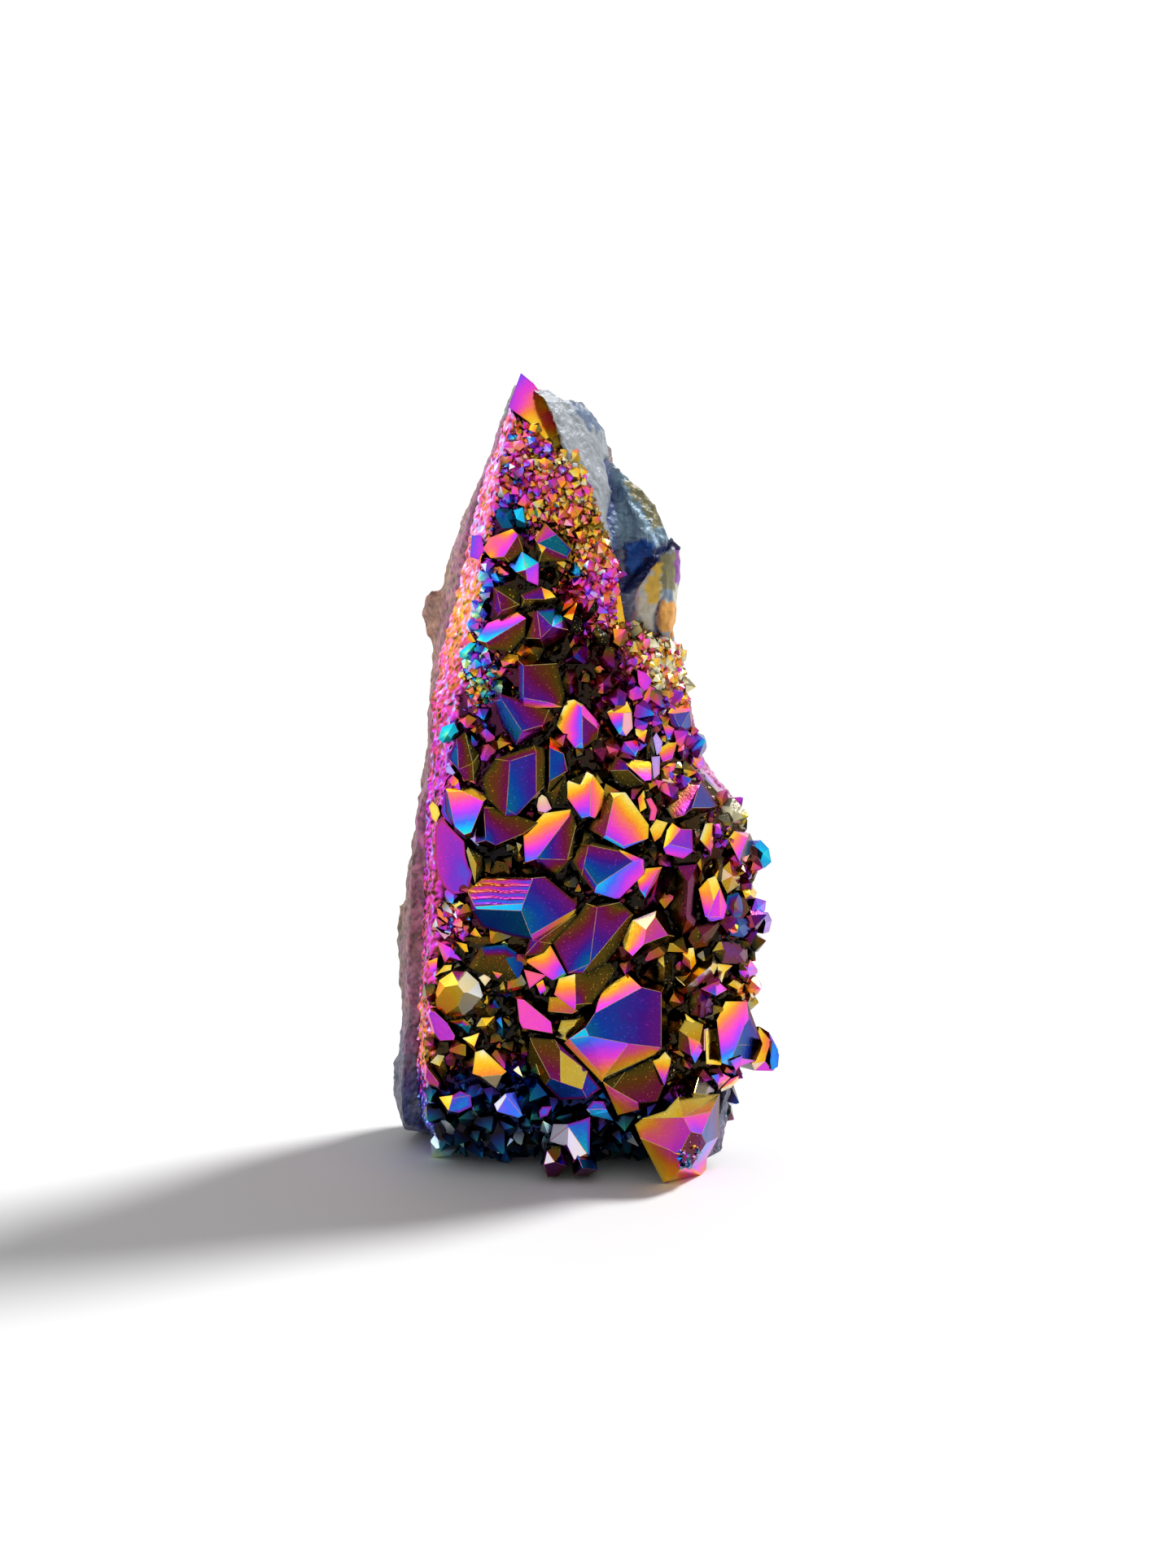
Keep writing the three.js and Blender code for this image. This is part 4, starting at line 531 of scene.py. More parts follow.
# %% Flat plates
PLATES = [(read_corners(outline), look) for outline, look in read_rows("""
-12.7 152.5, -14.9 145.6, -11.2 143.1, -7.5 139.3, -5 137, -6.7 143.9, -8.2 147.7, -10.4 150.7
  | bright 2.8 64,58,16,8,12,36,18,50
-19.9 42.3, -18.5 41.7, -16 41.1, -16.3 39.4, -17.2 38.5, -18.4 40.2 | bright 3.2 6,8,5,20,50,12
21.5 28.3, 23.2 28.7, 25.2 28.3, 25.4 24.4, 24.6 21.4, 21.8 21.8 | bright 3.4 8,3,6,10,14,8
25.8 47.8, 27.8 49.1, 29 48.4, 28 47.3, 26.6 46.9 | bright 3.8 34,8,12,26,40
-21.6 122, -19.9 122, -19.4 119.2, -20.4 117.4, -22 118 | bright 1.6 70,58,50,56,64
-24.2 101, -22 103.9, -21 102.2, -22.2 101.9 | bright 2 42,14,12,40
-29.9 71.3, -29.2 72.2, -28.2 71.2, -27.8 69.8, -28.6 68.2, -29.3 69 | bright 1.8 8
-26.8 74.2, -27.6 70.4, -27.2 69.3, -25.1 67.2, -25.2 68.4 | mid 1.6 72
-26.2 76.3, -25.3 77.2, -24.3 76.2, -24.4 75.1, -25.6 75.2 | bright 2 50,40,20,15,35
-26.7 78.6, -25.8 79, -24.9 77.6, -25.4 77.2, -26.5 77.7 | pale 1.8 64
-28.7 67.3, -27.3 69.3, -26.2 67.6, -23.3 64.6, -23.1 62, -22.6 60, -21.8 58.5, -22.3 56.6, -22.9 55,
  -25.5 54.5, -27.2 56, -28.3 58.2, -28.9 61 | mid 1.8 50,50,54,60,62,66,68,68,66,62,56,52,50
11.6 84.2, 12.2 85.2, 13.4 83.4, 12.9 81.2, 12.3 81 | pale 2 60
13.4 78.6, 14.6 79.4, 15.9 79.5, 15.6 78.2, 14.9 77.7 | bright 2.2 35,12,30,45,45
12 76.3, 13.5 76.1, 13.3 75.2, 12.6 74.7 | bright 2 42
11.3 80.6, 12.9 80.8, 12.8 77.4, 11.7 76.4 | pale 2.2 58,62,50,54
13.3 76.4, 14.6 76.8, 15.9 75.4, 14.8 74.2, 13.5 74.8 | pale 2.2 30,14,34,50,46
14.8 76.4, 15.2 77.6, 16.3 77.3, 16 76.2 | bright 2.4 12,8,10,14
8.8 90.2, 11 94, 11.9 93.6, 11.7 92.4, 9.9 89.6, 9.2 89.8 | bright 2.2 14,30,50,55,64,30
8.9 94.4, 8.6 97, 10.2 96.4, 11.4 95, 10.8 93.6, 9.8 92.8 | bright 2.2 45,48,52,58,54,50
8.8 72.8, 9.9 74.3, 10.4 71, 9.2 70.2 | bright 2.4 40,5,8,15
10.3 72.6, 11.2 72.9, 12.4 70.8, 11.9 68.6, 10.9 68.7, 11.2 70.6 | bright 2.2 40
11 67, 12.2 68.8, 14.3 68.2, 13 65.5, 11.9 64.6 | bright 2.6 10,8,8,22,28
-28.9 48.2, -27.7 47.2, -26.3 46.7, -27.1 45.9 | pale 1.8 40
-28.6 51.9, -28 51.7, -26.4 49.6, -26.6 49, -28.3 50.4 | bright 1.8 30
-25.7 52.6, -24.6 53.4, -23.3 52.6, -23.3 50.8, -24.6 51.4 | bright 2 8
-22.3 47, -21.4 48.2, -20.2 46.4, -21.5 46.6 | bright 2 36,12,14,25
-25.1 45.5, -23 45, -22.7 43.5, -23.4 43.6 | bright 1.8 16
-18.4 46.9, -17.4 46.8, -15.3 45, -15.4 44.4, -16.9 45.5 | bright 2.2 6
-24.5 46.3, -19 46.5, -17.2 45.2, -21 45 | dark 1.8 20
-22 41.6, -19.9 42.5, -19.7 40.2, -20.9 39.8 | bright 2.4 6,8,20,40
-30.4 41.6, -28.5 42.3, -28.7 40.2, -29.8 39.5 | bright 1.8 20,12,58,60
-29.4 38.4, -27.2 40.9, -25.8 41, -26 40, -28 39.4 | bright 2 28,14,8,6,10
-20.8 38.6, -19.6 39.3, -18.5 38.4, -19.6 37 | pale 2.2 2,4,20,10
-12.3 40.2, -8.2 39.1, -11.3 36.6 | bright 2.6 36,38,46
-10.3 38, -8.8 38.3, -8.2 36.3, -9.3 35.5 | bright 3 8,10,55,64
3.6 17.4, 6.5 19.7, 5.9 18.4, 4.9 17 | bright 2.4 6
16.7 28.6, 20.8 28.6, 20 26.4, 18 26.9 | bright 2 10
21.3 28.5, 22.1 28.8, 22.1 24.8, 21.3 24.4 | pale 2.4 30
22.1 28.8, 24.9 29, 24.8 26.6, 23.6 26, 22.2 26.2 | bright 2.6 8
22.6 26, 24.9 26.4, 24.8 23, 22.4 22.6 | mid 2.6 24,20,26,30
17.7 31.7, 19.6 30.2, 19.2 29.8, 18 30.4 | bright 3.4 8
26.4 22.3, 28.8 23, 28.4 21.3, 27.6 20.1 | bright 4.4 72,62,50,45
16.1 17, 16.9 17.4, 17.9 14.8, 17.6 13.6, 16.9 14.4 | bright 4.6 5,3,15,25,12
34.7 25.6, 36 22.8, 35.8 20.4, 34.6 19.8, 34.3 21.5 | bright 4.4 76
-9.6 12.7, -9 13.7, -7.1 13.8, -8 12, -9.4 11.6 | mid 2.6 74,70,66,70,76
-22.9 65.9, -21.6 67.8, -20.2 67.2, -18.8 66.4, -19.2 64.6, -20.8 63.9 | pale 2 60,30,26,40,55,70
-9.8 71.4, -9.5 72.9, -8.9 73.5, -8.1 73, -7.1 70.9, -8.2 70.1, -9.6 70.4 | pale 2.6 30,8,4,10,40,50,40
21.5 77.4, 25 73, 27 71, 21.8 75.8 | pale 1.8 68,60,56,66
""")]
print("flat plates:", len(PLATES))

# %% [markdown]
# ## Smaller points
#
# The points between the large ones are too small to show each corner. After the outline and the highest
# points, their rows only say which way the facets face, with the tone and the film from hollow to tip.

# %% Points described by how their facets face
CRYSTALS = read_crystals("""
rough_gold: -29 35, -28.2 38, -25.6 39.8, -23 39.8, -20.8 37.8, -20 35.2, -21.4 33, -24 31.2, -26.6 31,
  -28.6 32.6 | -27 36.6 2.6, -24.6 37.6 3.2, -22.8 35.6 3.2, -25.2 33.4 2.8 | left bright amber-gold
  | upleft bright gold-gold | up mid olive-olive | upright pale olive-gold | right white olive-olive
  | downright pale olive-gold | down mid gold-olive | downleft bright gold-amber
slate_roof: -22.4 41, -20.4 44.4, -16 45, -13.6 43.4, -12.4 41, -13.2 38.8, -15.6 37.4, -19 38.6
  | -19.2 42.4 2.2, -15.4 42.2 2.2 | up teal-olive | left brown-olive | right navy-teal | down olive-brown
slate_lens: -18.6 36.4, -16.6 37.2, -14.4 35.6, -15.6 34.8, -17.4 35 | -16.6 35.8 2.2 | up olive-olive
  | down teal-olive
brown_speckled: -22 33, -20.4 34.8, -18 34.6, -16.8 32.8, -18.4 30.8, -20.8 30.8 | -19.6 32.8 2.4
  | up olive-olive | left brown-olive | right teal-olive | down olive-brown
teal_foot: -26.4 30.2, -23.6 30.6, -22.2 29.4, -22.8 27.8, -25.4 28.4 | -24.2 29.4 2.4 | up mid olive-lime
  | down teal-teal
teal_step: -26.2 44.8, -24.8 44.6, -24.2 42.2, -25 41.4, -26 42.2 | -25.2 43.4 2.4 | up olive-teal
  | down teal-teal | right navy-teal
gold_ridge: 16.2 38.4, 18.6 38.8, 20.4 40.8, 22.9 43.4, 24 41, 23 38.8, 20.6 37.2, 17.9 35.2, 16.4 36.2
  | 17.8 37 3.4, 20.6 39.4 3.8, 22.8 41.4 3.4 | up bright gold-gold | left bright gold-amber
  | right pale olive-olive | down bright amber-gold
dark_barrel: 18 33.6, 18.9 35.8, 20.6 36.4, 22.4 35.4, 22.8 33, 21.4 31, 18.8 31.4 | 20 34 2.8, 21.4 33 2.8
  | up maroon-olive | left olive-brown | right maroon-plum | down brown-maroon
slate_right: 25.2 51.8, 25.6 54.2, 27.6 54.8, 28.8 52.8, 28.4 50.2, 26.6 49.6 | 27 52.4 2.6 | up olive-brown
  | left olive-olive | right teal-olive | down navy-teal
slate_low: 25.8 48.4, 27.4 50, 30 49.4, 30.6 47.4, 28.6 46, 26.2 46.6 | 28 48 2.6 | up teal-olive
  | left olive-teal | right navy-teal | down olive-olive
olive_lump: 22.8 43.6, 24 45.4, 27 45.2, 29.6 43.6, 29.8 41.4, 27.6 40.8, 24.6 41.4 | 24.8 44 2.6,
  27.8 42.8 2.8 | up mid olive-gold | left olive-olive | right maroon-plum | down olive-brown
fire_side: 28 39.6, 28.6 41.2, 30.6 41.2, 31.8 39.4, 30.8 37.2, 29 37.4 | 29.6 39.6 3 | up olive-brown
  | left brown-maroon | right bright magenta-violet | down bright violet-pink
cyan_wedge: -14 126.6, -12.3 127.1, -11.3 124.2, -11.5 122.2, -13.5 123, -14.1 124.9 | -13.4 124.9 2.6,
  -11.9 124.1 2.6 | up bright cyan-cyan | down teal-teal
teal_stub: -17 127, -14.3 126.8, -14 123.3, -16 123.2, -17.2 125.2 | -15.5 125.8 2.4 | left teal-violet
  | right teal-teal
cyan_chip: -18.2 114.6, -17.3 115, -15.6 114.2, -15.6 113, -16.6 112.7, -17.8 113.6 | -16.6 113.4 2.2
  | left bright blue-cyan | right navy-teal
sky_chip: -4 115.4, -2.9 117, -1.8 115.2, -1.9 114.2, -3.6 114.2 | -2.8 114.6 2.6 | left bright blue-cyan
  | right bright cyan-teal
rose_lip: -5.2 112.6, -3.2 114.1, -1.5 114.2, -1.8 112.9, -3.5 112.1 | -3.2 112.7 2.6
  | up bright pink-magenta | down bright magenta-pink
lime_chip: -24 100.2, -22 102, -20.9 101.8, -21.3 100.4, -23 98.9, -23.9 99.2 | -22.6 99.8 2.4
  | left bright cyan-lime | right bright teal-cyan
orange_cap: -16.4 98.6, -15 99.8, -13.2 99.6, -12.9 98, -13.6 97, -16 97.4 | -14.5 98 2.6
  | up bright gold-amber | down bright amber-pink
pink_wedge: -13.5 100, -12.2 101.8, -9.5 99.4, -12.3 99.2 | -12 100.4 2.2 | left bright gold-pink
  | right bright pink-gold
left_cyan: -28 84, -27.3 86.2, -25 87, -24.2 85.3, -25.3 83.6, -27.2 83.2 | -26.2 84.8 2.4
  | left bright cyan-lime | right bright cyan-teal
maroon_chip: 0.4 82, 3 82.4, 3.4 79, 2.4 78.2, 0.8 79.6 | 2.4 79.8 2.8 | left maroon-maroon
  | right plum-maroon
olive_side: 11.8 73, 13 74.2, 14.2 71, 12.7 69 | 13 71.6 2.6 | left olive-olive | right olive-brown
blue_rim: 31 63.6, 32.2 64.7, 33.8 63, 34.3 60.4, 33 59.2, 32 60.2 | 32.6 62.2 2.8 | left bright blue-cyan
  | right bright cyan-teal
mauve_side: 10 53.6, 12.8 58.6, 13.6 56, 12.6 52.4, 10 51.4 | 11.8 54.4 3 | left mid maroon-pink
  | right maroon-plum
olive_tower: 13.6 58.6, 16 59.2, 16.1 55.4, 14 54.5, 13.4 56 | 14.8 57 3 | left olive-olive
  | right olive-brown
maroon_tower: 16.3 60, 19.7 60.3, 19.8 50, 18.8 47.6, 17 46.9, 14.6 50.2, 15.2 53.6 | 17.8 57.2 3.2,
  18 50.4 3.8 | left olive-maroon | right maroon-maroon | front brown-maroon
violet_tooth: -28.7 45.7, -25.7 45.4, -24 42, -25.8 41.5, -27.2 41.6 | -25.9 44.4 2.8, -26.1 42.6 3
  | left bright pink-violet | right bright magenta-violet
maroon_knee: 18.8 35.6, 20.8 36, 23 33.6, 22.9 31.4, 20.5 30.7, 18.5 33 | 20.6 33.6 3.2 | left maroon-maroon
  | right plum-maroon
gold_heel: 25.9 37, 27 37.9, 29.1 37, 28.6 35.3, 27.5 35 | 27.8 36 2.8 | left bright gold-gold
  | right bright gold-amber
peach_tooth: 29.2 36.9, 31.7 36, 31 33.7, 30 33.3 | 30.4 34.6 2.6 | left bright amber-gold
  | right pale amber-gold
lilac_side: 30.3 50.6, 31.2 53.6, 33.4 52.8, 33.2 51, 31.4 50 | 31.8 51.6 2.8 | left bright violet-magenta
  | right bright violet-blue
lilac_rim: 32.6 50.8, 33.8 50.6, 34.5 49, 34 46.8, 32.8 46.4 | 33.4 48.6 2.4 | left bright violet-violet
  | right pale violet-violet
peach_curl: 25.8 47.5, 26.8 49.1, 28.2 49.4, 29.2 48.6, 27.6 46.8 | 27.4 47.8 2.8 | left bright pink-amber
  | right bright amber-gold
gold_curl: 28.6 55, 30 56.2, 31.5 54.6, 31 53.4, 29.2 53.4 | 30 54.4 2.8 | left bright gold-amber
  | right bright gold-gold
tan_roof: 24.4 57, 24.7 59.5, 26 60.8, 28 57.8, 27.8 56.2, 25.6 54.6 | 26.4 58 3.2 | left pale gold-amber
  | right mid gold-brown
tan_keel: 18.2 46, 19.4 49, 25 50, 21.8 44.7, 19.4 44.2 | 20.8 46.8 2.8 | left brown-olive
  | right brown-maroon | front olive-brown
brown_gem: -6.4 108.6, -5.9 110.4, -4.4 111, -3.3 110.3, -3 109.3, -4.2 108.1, -5.3 107.6 | -4.6 109.2 2.8
  | left olive-brown | right bright amber-pink | up brown-maroon
olive_step: -4.9 106.8, -3.6 108.3, -2.6 109.3, -2 108, -1.5 105.6, -1.8 104, -3.7 103.9, -4.2 105.4
  | -3.2 106 2.6 | left olive-brown | right olive-olive | up bright gold-amber
plum_leaf: -1.8 107.5, -0.3 109.6, 0.8 109.8, 0.9 107.6, -0.2 106.2, -1.2 106.2 | -0.4 107.6 2.6
  | left mid brown-plum | right olive-olive
indigo_block: -5 98.5, -3.3 101.2, -1.4 101.3, -0.7 98.5, -1.2 97.9, -4.6 98 | -3 99.2 2.8 | up olive-plum
  | left maroon-indigo | right plum-navy
mauve_post: -1.6 102, -0.6 103.1, 0.3 102.5, 0.4 99.5, -0.4 98.3, -1 99.6 | -0.5 101 2.8
  | left bright pink-magenta | right olive-brown
umber_drop: -5.6 94.6, -4.6 97, -2.6 96.6, -2.1 94.4, -2.6 91.8, -3.8 91.4, -5 92.6 | -3.6 94.2 3
  | left olive-brown | right brown-maroon | down plum-indigo
wine_block: 0.9 93.6, 1.2 96.4, 3.6 96, 3.9 93.6, 2.4 92.4, 1.4 92.6 | 2.4 94.4 2.6
  | left bright amber-magenta | right maroon-plum | up olive-brown
olive_low: 0.2 103.8, 1.2 105.3, 1.8 104.4, 3.3 103.3, 3.3 101.6, 2 101.2, 0.8 102 | 1.8 103 2.4
  | left olive-brown | right olive-olive
magenta_wedge: 1 99.6, 3 101.3, 4.5 101, 4.6 97.4, 3.9 95.9, 1.9 97.5 | 4 97.4 3.2, 2.1 99.2 2.4
  | left bright pink-violet | up olive-plum | right olive-brown
brown_post: 20 57.5, 19.8 60.5, 20.5 61.4, 21.2 60.6, 21.3 57.2, 20.6 56 | 20.6 59 2.4 | left mid gold-brown
  | right brown-olive
olive_post: 23 58, 23.6 61.4, 24.6 61.6, 24.8 59.5, 24.2 57, 23.4 57 | 23.9 59.4 2.4
  | left bright gold-amber | right olive-brown
cave_left: -22.9 62.8, -22.6 63.6, -20 62, -19.9 59.2, -21.3 56.6, -21.8 59 | -21 60.4 2.2
  | left mid olive-gold | right olive-brown
cave_right: -18.6 58.6, -17.4 61, -15.2 60.6, -14.8 58.6, -16 57.8 | -16.6 59.6 1.8 | left olive-brown
  | right brown-olive
cave_side: -14.5 62, -13.6 64.5, -12.6 64, -12.3 61.2, -13.4 60.8 | -13.2 62.6 2 | left olive-olive
  | right mid olive-gold
olive_valley: -8.4 74, -4.6 77.8, -5 74.6, -3.9 71.9, -6.8 71.2 | -5.8 74.2 2.2 | left olive-brown
  | right olive-olive
olive_diamond: -3.7 77.8, -2.6 79.4, -1.1 78.2, -2.3 76.9 | -2.5 78 2.4 | left mid olive-gold
  | right olive-brown
umber_wall: 10.5 85.9, 11.4 86.2, 11.6 84, 12 80.8, 10.6 80.2, 10.2 82.6 | 11 83 2.2 | left olive-brown
  | right olive-olive
plum_bead: 16.3 81.6, 16.6 83.2, 17.6 83.6, 18.5 82.4, 18.3 80.8, 17.2 80.2 | 17.4 82 2.8
  | up bright amber-pink | left plum-indigo | right maroon-plum
olive_dome: -29.9 22.2, -28.6 23.6, -27.3 23.4, -26.8 20.5, -27.6 18.4, -28.6 19.6 | -28.2 21.4 2.4
  | left mid olive-gold | right olive-brown
brown_round: -21.3 29.2, -20.2 31, -17.8 31.2, -17.5 28.4, -19 27.4 | -19.4 29.4 2.4 | left mid olive-brown
  | right brown-olive | up bright gold-gold
steel_arc: -17.5 30.4, -16.6 31.2, -14.9 28.8, -16.2 26.9, -17.5 28 | -16.3 29 2.6 | left mid blue-teal
  | right navy-teal
steel_wedge: -14.4 20.8, -13.4 21.6, -11 19.2, -11.6 17.6, -12.8 18.4 | -12.6 19.6 2.8 | left mid navy-teal
  | up pale olive-gold | right navy-navy
olive_heel: -17.5 36, -16.2 38, -14.5 37.4, -14.3 35.6, -16 35 | -15.8 36.6 2.4 | left mid olive-gold
  | right olive-brown
olive_toe: -20.5 33.4, -19.2 35.5, -18 35, -17.8 32.8, -19.4 32 | -19 34 2.4 | left bright gold-gold
  | right olive-brown
olive_beam: 12.6 42, 13.6 43.4, 15.2 42.6, 15 38.4, 13.8 37, 12.8 38.6 | 13.8 40.6 2.4 | left mid olive-gold
  | right olive-olive
olive_nook: 23.2 43, 24.6 45, 26.8 44.6, 27 42.6, 25 42 | 25 43.6 2.4 | left mid olive-gold
  | right olive-brown
hex_hollow: 25 51.4, 26.4 54, 29 53.6, 30 51.4, 28.6 49.6, 26.2 49.5 | 27.6 51.8 1.6 | left olive-brown
  | right maroon-olive
""")
print("smaller points:", len(CRYSTALS))

# %% [markdown]
# ## The hollow in the corner point
#
# The large point at the lower right is hollow, and its floor is lined with grains. Each grain is a small
# five-sided point with one of a few looks. They are thrown at chance into the hollow's outline.

# %% Grains in the hollow
GRAINS = 34
GRAIN_GIRDLE = RISE * 10.6
GRAIN_SIZES = (0.5, 0.95)
GRAIN_RISES = (11.15, 11.6)
HOLLOW = read_corners("16.4 5, 17 2.3, 18.9 2.3, 20.3 4.6, 21.7 6.7, 20.8 8.7, 18.7 9.5")
GRAIN_LOOKS = read_rows("""
left bright magenta-violet | right teal-teal
up bright gold-amber | down olive-brown
left bright blue-cyan | right navy-teal
up pale pink-violet | down maroon-plum
""")


def hollow_grains():
    chance = random.Random(19)
    grains = []
    while len(grains) < GRAINS:
        x, z = (chance.uniform(min(values), max(values)) for values in zip(*HOLLOW))
        size = chance.uniform(*GRAIN_SIZES)
        if not in_outline(x, z, HOLLOW):
            continue
        turn = chance.random()
        outline = []
        for corner in range(5):
            around = turn + corner * 1.26
            outline.append((x + size * math.cos(around), z + size * math.sin(around)))
        tip = (x + chance.uniform(-0.3, 0.3), z + chance.uniform(-0.3, 0.3), chance.uniform(*GRAIN_RISES))
        grains.append((outline, [tip], chance.choice(GRAIN_LOOKS)))
    return grains


grains = hollow_grains()
print("grains in the hollow:", len(grains))

# %% [markdown]
# ## Cutting a crystal facet by facet
#
# A large point is drawn corner by corner, so its facets come out just as they are on the real one. The
# corners' depths are only rough, though, and four rough corners never lie in one plane. So the depths are
# solved for: the least change that makes every facet flat. The facets are then divided finely, which lets the
# film follow them.

# %% Reading a facet's line
RIM_NAMES = "0123456789abcdef"
TIP_NAMES = "ABCDEFGHIJKLMN"


def read_facet(line, names):
    """Corners by number, tone, and the film at each corner, from a line such as '01A bright 10,12,40'."""
    letters, *tone, films = line.split()
    corners = [names.index(letter) for letter in letters]
    films = [int(film) / 100 for film in films.split(",")]
    if len(films) == 1:
        films *= len(corners)
    return corners, read_painted_light(tone), films


print(read_facet("01A bright 10,12,40", "012A"))

# %% Depths that make the facets flat
KEEP_FLAT = 60  # how much flat facets matter against keeping the drawn depths


def flatten_depths(places, depths, facets):
    system = np.eye(len(places))
    for corners, _, _ in facets:
        plane = np.array([(1, *places[corner]) for corner in corners])
        off_plane = np.eye(len(corners)) - plane @ np.linalg.pinv(plane)
        system[np.ix_(corners, corners)] += KEEP_FLAT * off_plane
    return np.linalg.solve(system, np.array(depths))


print("flat already:", flatten_depths([(0, 0), (1, 0), (1, 1), (0, 1)], [0, 0, 1, 1], []))

# %% Film across a facet
CORNER_REACH = 0.02  # keeps the film finite at a corner


def film_over(corner_places, films):
    """A function of x and z that meets each corner's film and is nearly linear between them."""
    plane = np.array([(1, *place) for place in corner_places])
    slope = np.linalg.lstsq(plane, np.array(films), rcond=None)[0]
    rest = np.array(films) - plane @ slope
    spots = plane[:, 1:]

    def film_at(x, z):
        near = 1 / (((spots - (x, z)) ** 2).sum(1) + CORNER_REACH) ** 1.5
        return slope @ (1, x, z) + (near * rest).sum() / near.sum()

    return film_at


print("film half way:", round(float(film_over([(0, 0), (1, 0), (0, 1)], [0, 1, 0])(0.5, 0)), 2))


# %% Distance to an edge
def edges_between(starts, ends):
    ways = ends - starts
    return starts, ways, np.linalg.norm(ways, axis=1)


def edge_distance(x, z, edges):
    """The shortest way from a point to any of the edges."""
    starts, ways, lengths = edges
    offset = np.array((x, z)) - starts
    along = np.clip((offset * ways).sum(1) / lengths**2, 0, 1)
    return float(np.sqrt(((offset - ways * along[:, None]) ** 2).sum(1).min()))


one_edge = edges_between(np.array([(0.0, 0.0)]), np.array([(2.0, 0.0)]))
print("off that edge:", edge_distance(1, 3, one_edge))

# %% [markdown]
# ## A mesh that remembers its film
#
# The pieces share one way of being stored: corners, faces, and three values for the finish at each corner of
# each face. film is the thickness; the next is the painted light, how bright the facet is painted, partly at
# random and mostly for the light it is taken to catch; and the last is the painted shade, which paints it
# darker the further it lies down a crevice or near the foot.


# %% Mesh builder
def store(mesh, domain, **columns):
    """Keeps one list of numbers for each name with the mesh."""
    for key, values in columns.items():
        mesh.attributes.new(key, "FLOAT", domain).data.foreach_set("value", values)


def put_in_scene(name, mesh):
    made = bpy.data.objects.new(name, mesh)
    bpy.context.collection.objects.link(made)
    return made


class Shell:
    """Collects faces with their film, painted light and painted shade, and turns them into a mesh in metres.
    """

    def __init__(self):
        self.verts, self.faces, self.values = [], [], []

    def add(self, block, finish):
        """Takes in a block's faces. finish gives the film, the painted light and the painted shade for each
        corner of a face.
        """
        start = len(self.verts)
        block.verts.index_update()
        self.verts += [Vector((vert.co.x, vert.co.y, max(vert.co.z, 0))) * MM for vert in block.verts]
        for face in block.faces:
            self.faces.append([start + vert.index for vert in face.verts])
            self.values += finish(face)
        block.free()

    def make(self, name):
        mesh = bpy.data.meshes.new(name)
        mesh.from_pydata(self.verts, [], self.faces)
        film, tone, deep = zip(*self.values)
        store(mesh, "CORNER", film=film, deep=deep, tone=tone)
        return put_in_scene(name, mesh)


print("mesh builder ready")

# %% [markdown]
# ## From a list of corners to a crystal
#
# Each crystal is a closed block: its facets, its sides down to the root inside the layer, and the root's own
# face. Every ridge is bevelled by a hair, and that narrow face is painted brighter than the facets beside it,
# a painted highlight along the ridge. A face's number says which facet it belongs to, from 1, and the sides
# have 0.

# %% Dividing the facets
FACET_STEP = 0.75
RIDGE = -1
RIDGE_WIDTH = 0.07


def refine(block, facet_of, step):
    """Divides the facets until no edge is longer than step."""
    bmesh.ops.triangulate(block, faces=block.faces[:])
    for _ in range(7):
        long_edges = [
            edge for edge in block.edges
            if edge.calc_length() > step and any(face[facet_of] for face in edge.link_faces)
        ]
        if not long_edges:
            break
        bmesh.ops.subdivide_edges(block, edges=long_edges, cuts=1)
        bmesh.ops.triangulate(block, faces=[face for face in block.faces if len(face.verts) > 3])


def soften_ridges(block, facet_of):
    """Bevels the edges between facets, and numbers the narrow new faces RIDGE."""
    ridges = [edge for edge in block.edges if all(face[facet_of] for face in edge.link_faces)]
    if ridges:
        made = bmesh.ops.bevel(
            block, geom=ridges, offset=RIDGE_WIDTH, segments=1, affect="EDGES", clamp_overlap=True
        )
        for face in made["faces"]:
            face[facet_of] = RIDGE


print("ridges are", RIDGE_WIDTH, "mm wide")

# %% Ribs of growth
RIBBED = "ribbed_blue"  # the crystal whose first facet is ribbed
RIBBED_STEP = 0.3
RIB_SPACING = 1.2
RIB_HEIGHT = 0.3


def rib_wave(x, z):
    """1 on top of a rib and -1 between two: level steps, a little uneven."""
    phase = z / RIB_SPACING + 0.25 * noise.noise(Vector((x * 0.35, z * 0.2, 3)))
    return math.cos(2 * math.pi * phase)


def raise_ribs(block, facet_of):
    for vert in block.verts:
        if all(face[facet_of] == 1 for face in vert.link_faces):
            vert.co.y -= RIB_HEIGHT * max(0, rib_wave(*drawn_place(vert.co))) ** 2


print("ribs on that facet are", RIB_SPACING, "mm apart")

# %% Block of one crystal
ROOT = 6
ROOT_NARROWS = 0.75


def root_of(x, z, middle, root=ROOT):
    """Where the outline's corner (x, z) ends, inside the layer behind it."""
    inward = root * side_share(*middle) ** 2
    root_x = middle[0] + ROOT_NARROWS * (x - middle[0]) - inward
    root_z = middle[1] + ROOT_NARROWS * (z - middle[1])
    return undrawn(root_x, root_z, bed_depth(x, z) + root)


def crystal_block(places, rim_count, depths, facets, root):
    """The closed block with its facets numbered from 1, facing the camera."""
    block = bmesh.new()
    facet_of = block.faces.layers.int.new("facet")
    verts = [block.verts.new(undrawn(x, z, y)) for (x, z), y in zip(places, depths)]
    rim = places[:rim_count]
    middle = tuple(np.mean(rim, axis=0))
    roots = [block.verts.new(root_of(x, z, middle, root)) for x, z in rim]
    for number, (corners, _, _) in enumerate(facets):
        block.faces.new([verts[corner] for corner in corners])[facet_of] = number + 1
    for i in range(rim_count):
        j = (i + 1) % rim_count
        block.faces.new((verts[i], verts[j], roots[j], roots[i]))
    block.faces.new(roots)
    bmesh.ops.recalc_face_normals(block, faces=block.faces[:])
    block.normal_update()
    if sum(face.normal.y * face.calc_area() for face in block.faces if face[facet_of]) > 0:
        bmesh.ops.reverse_faces(block, faces=block.faces[:])
    return block, facet_of


print("a corner's root:", [round(value, 1) for value in root_of(2, 60, (0, 60))])

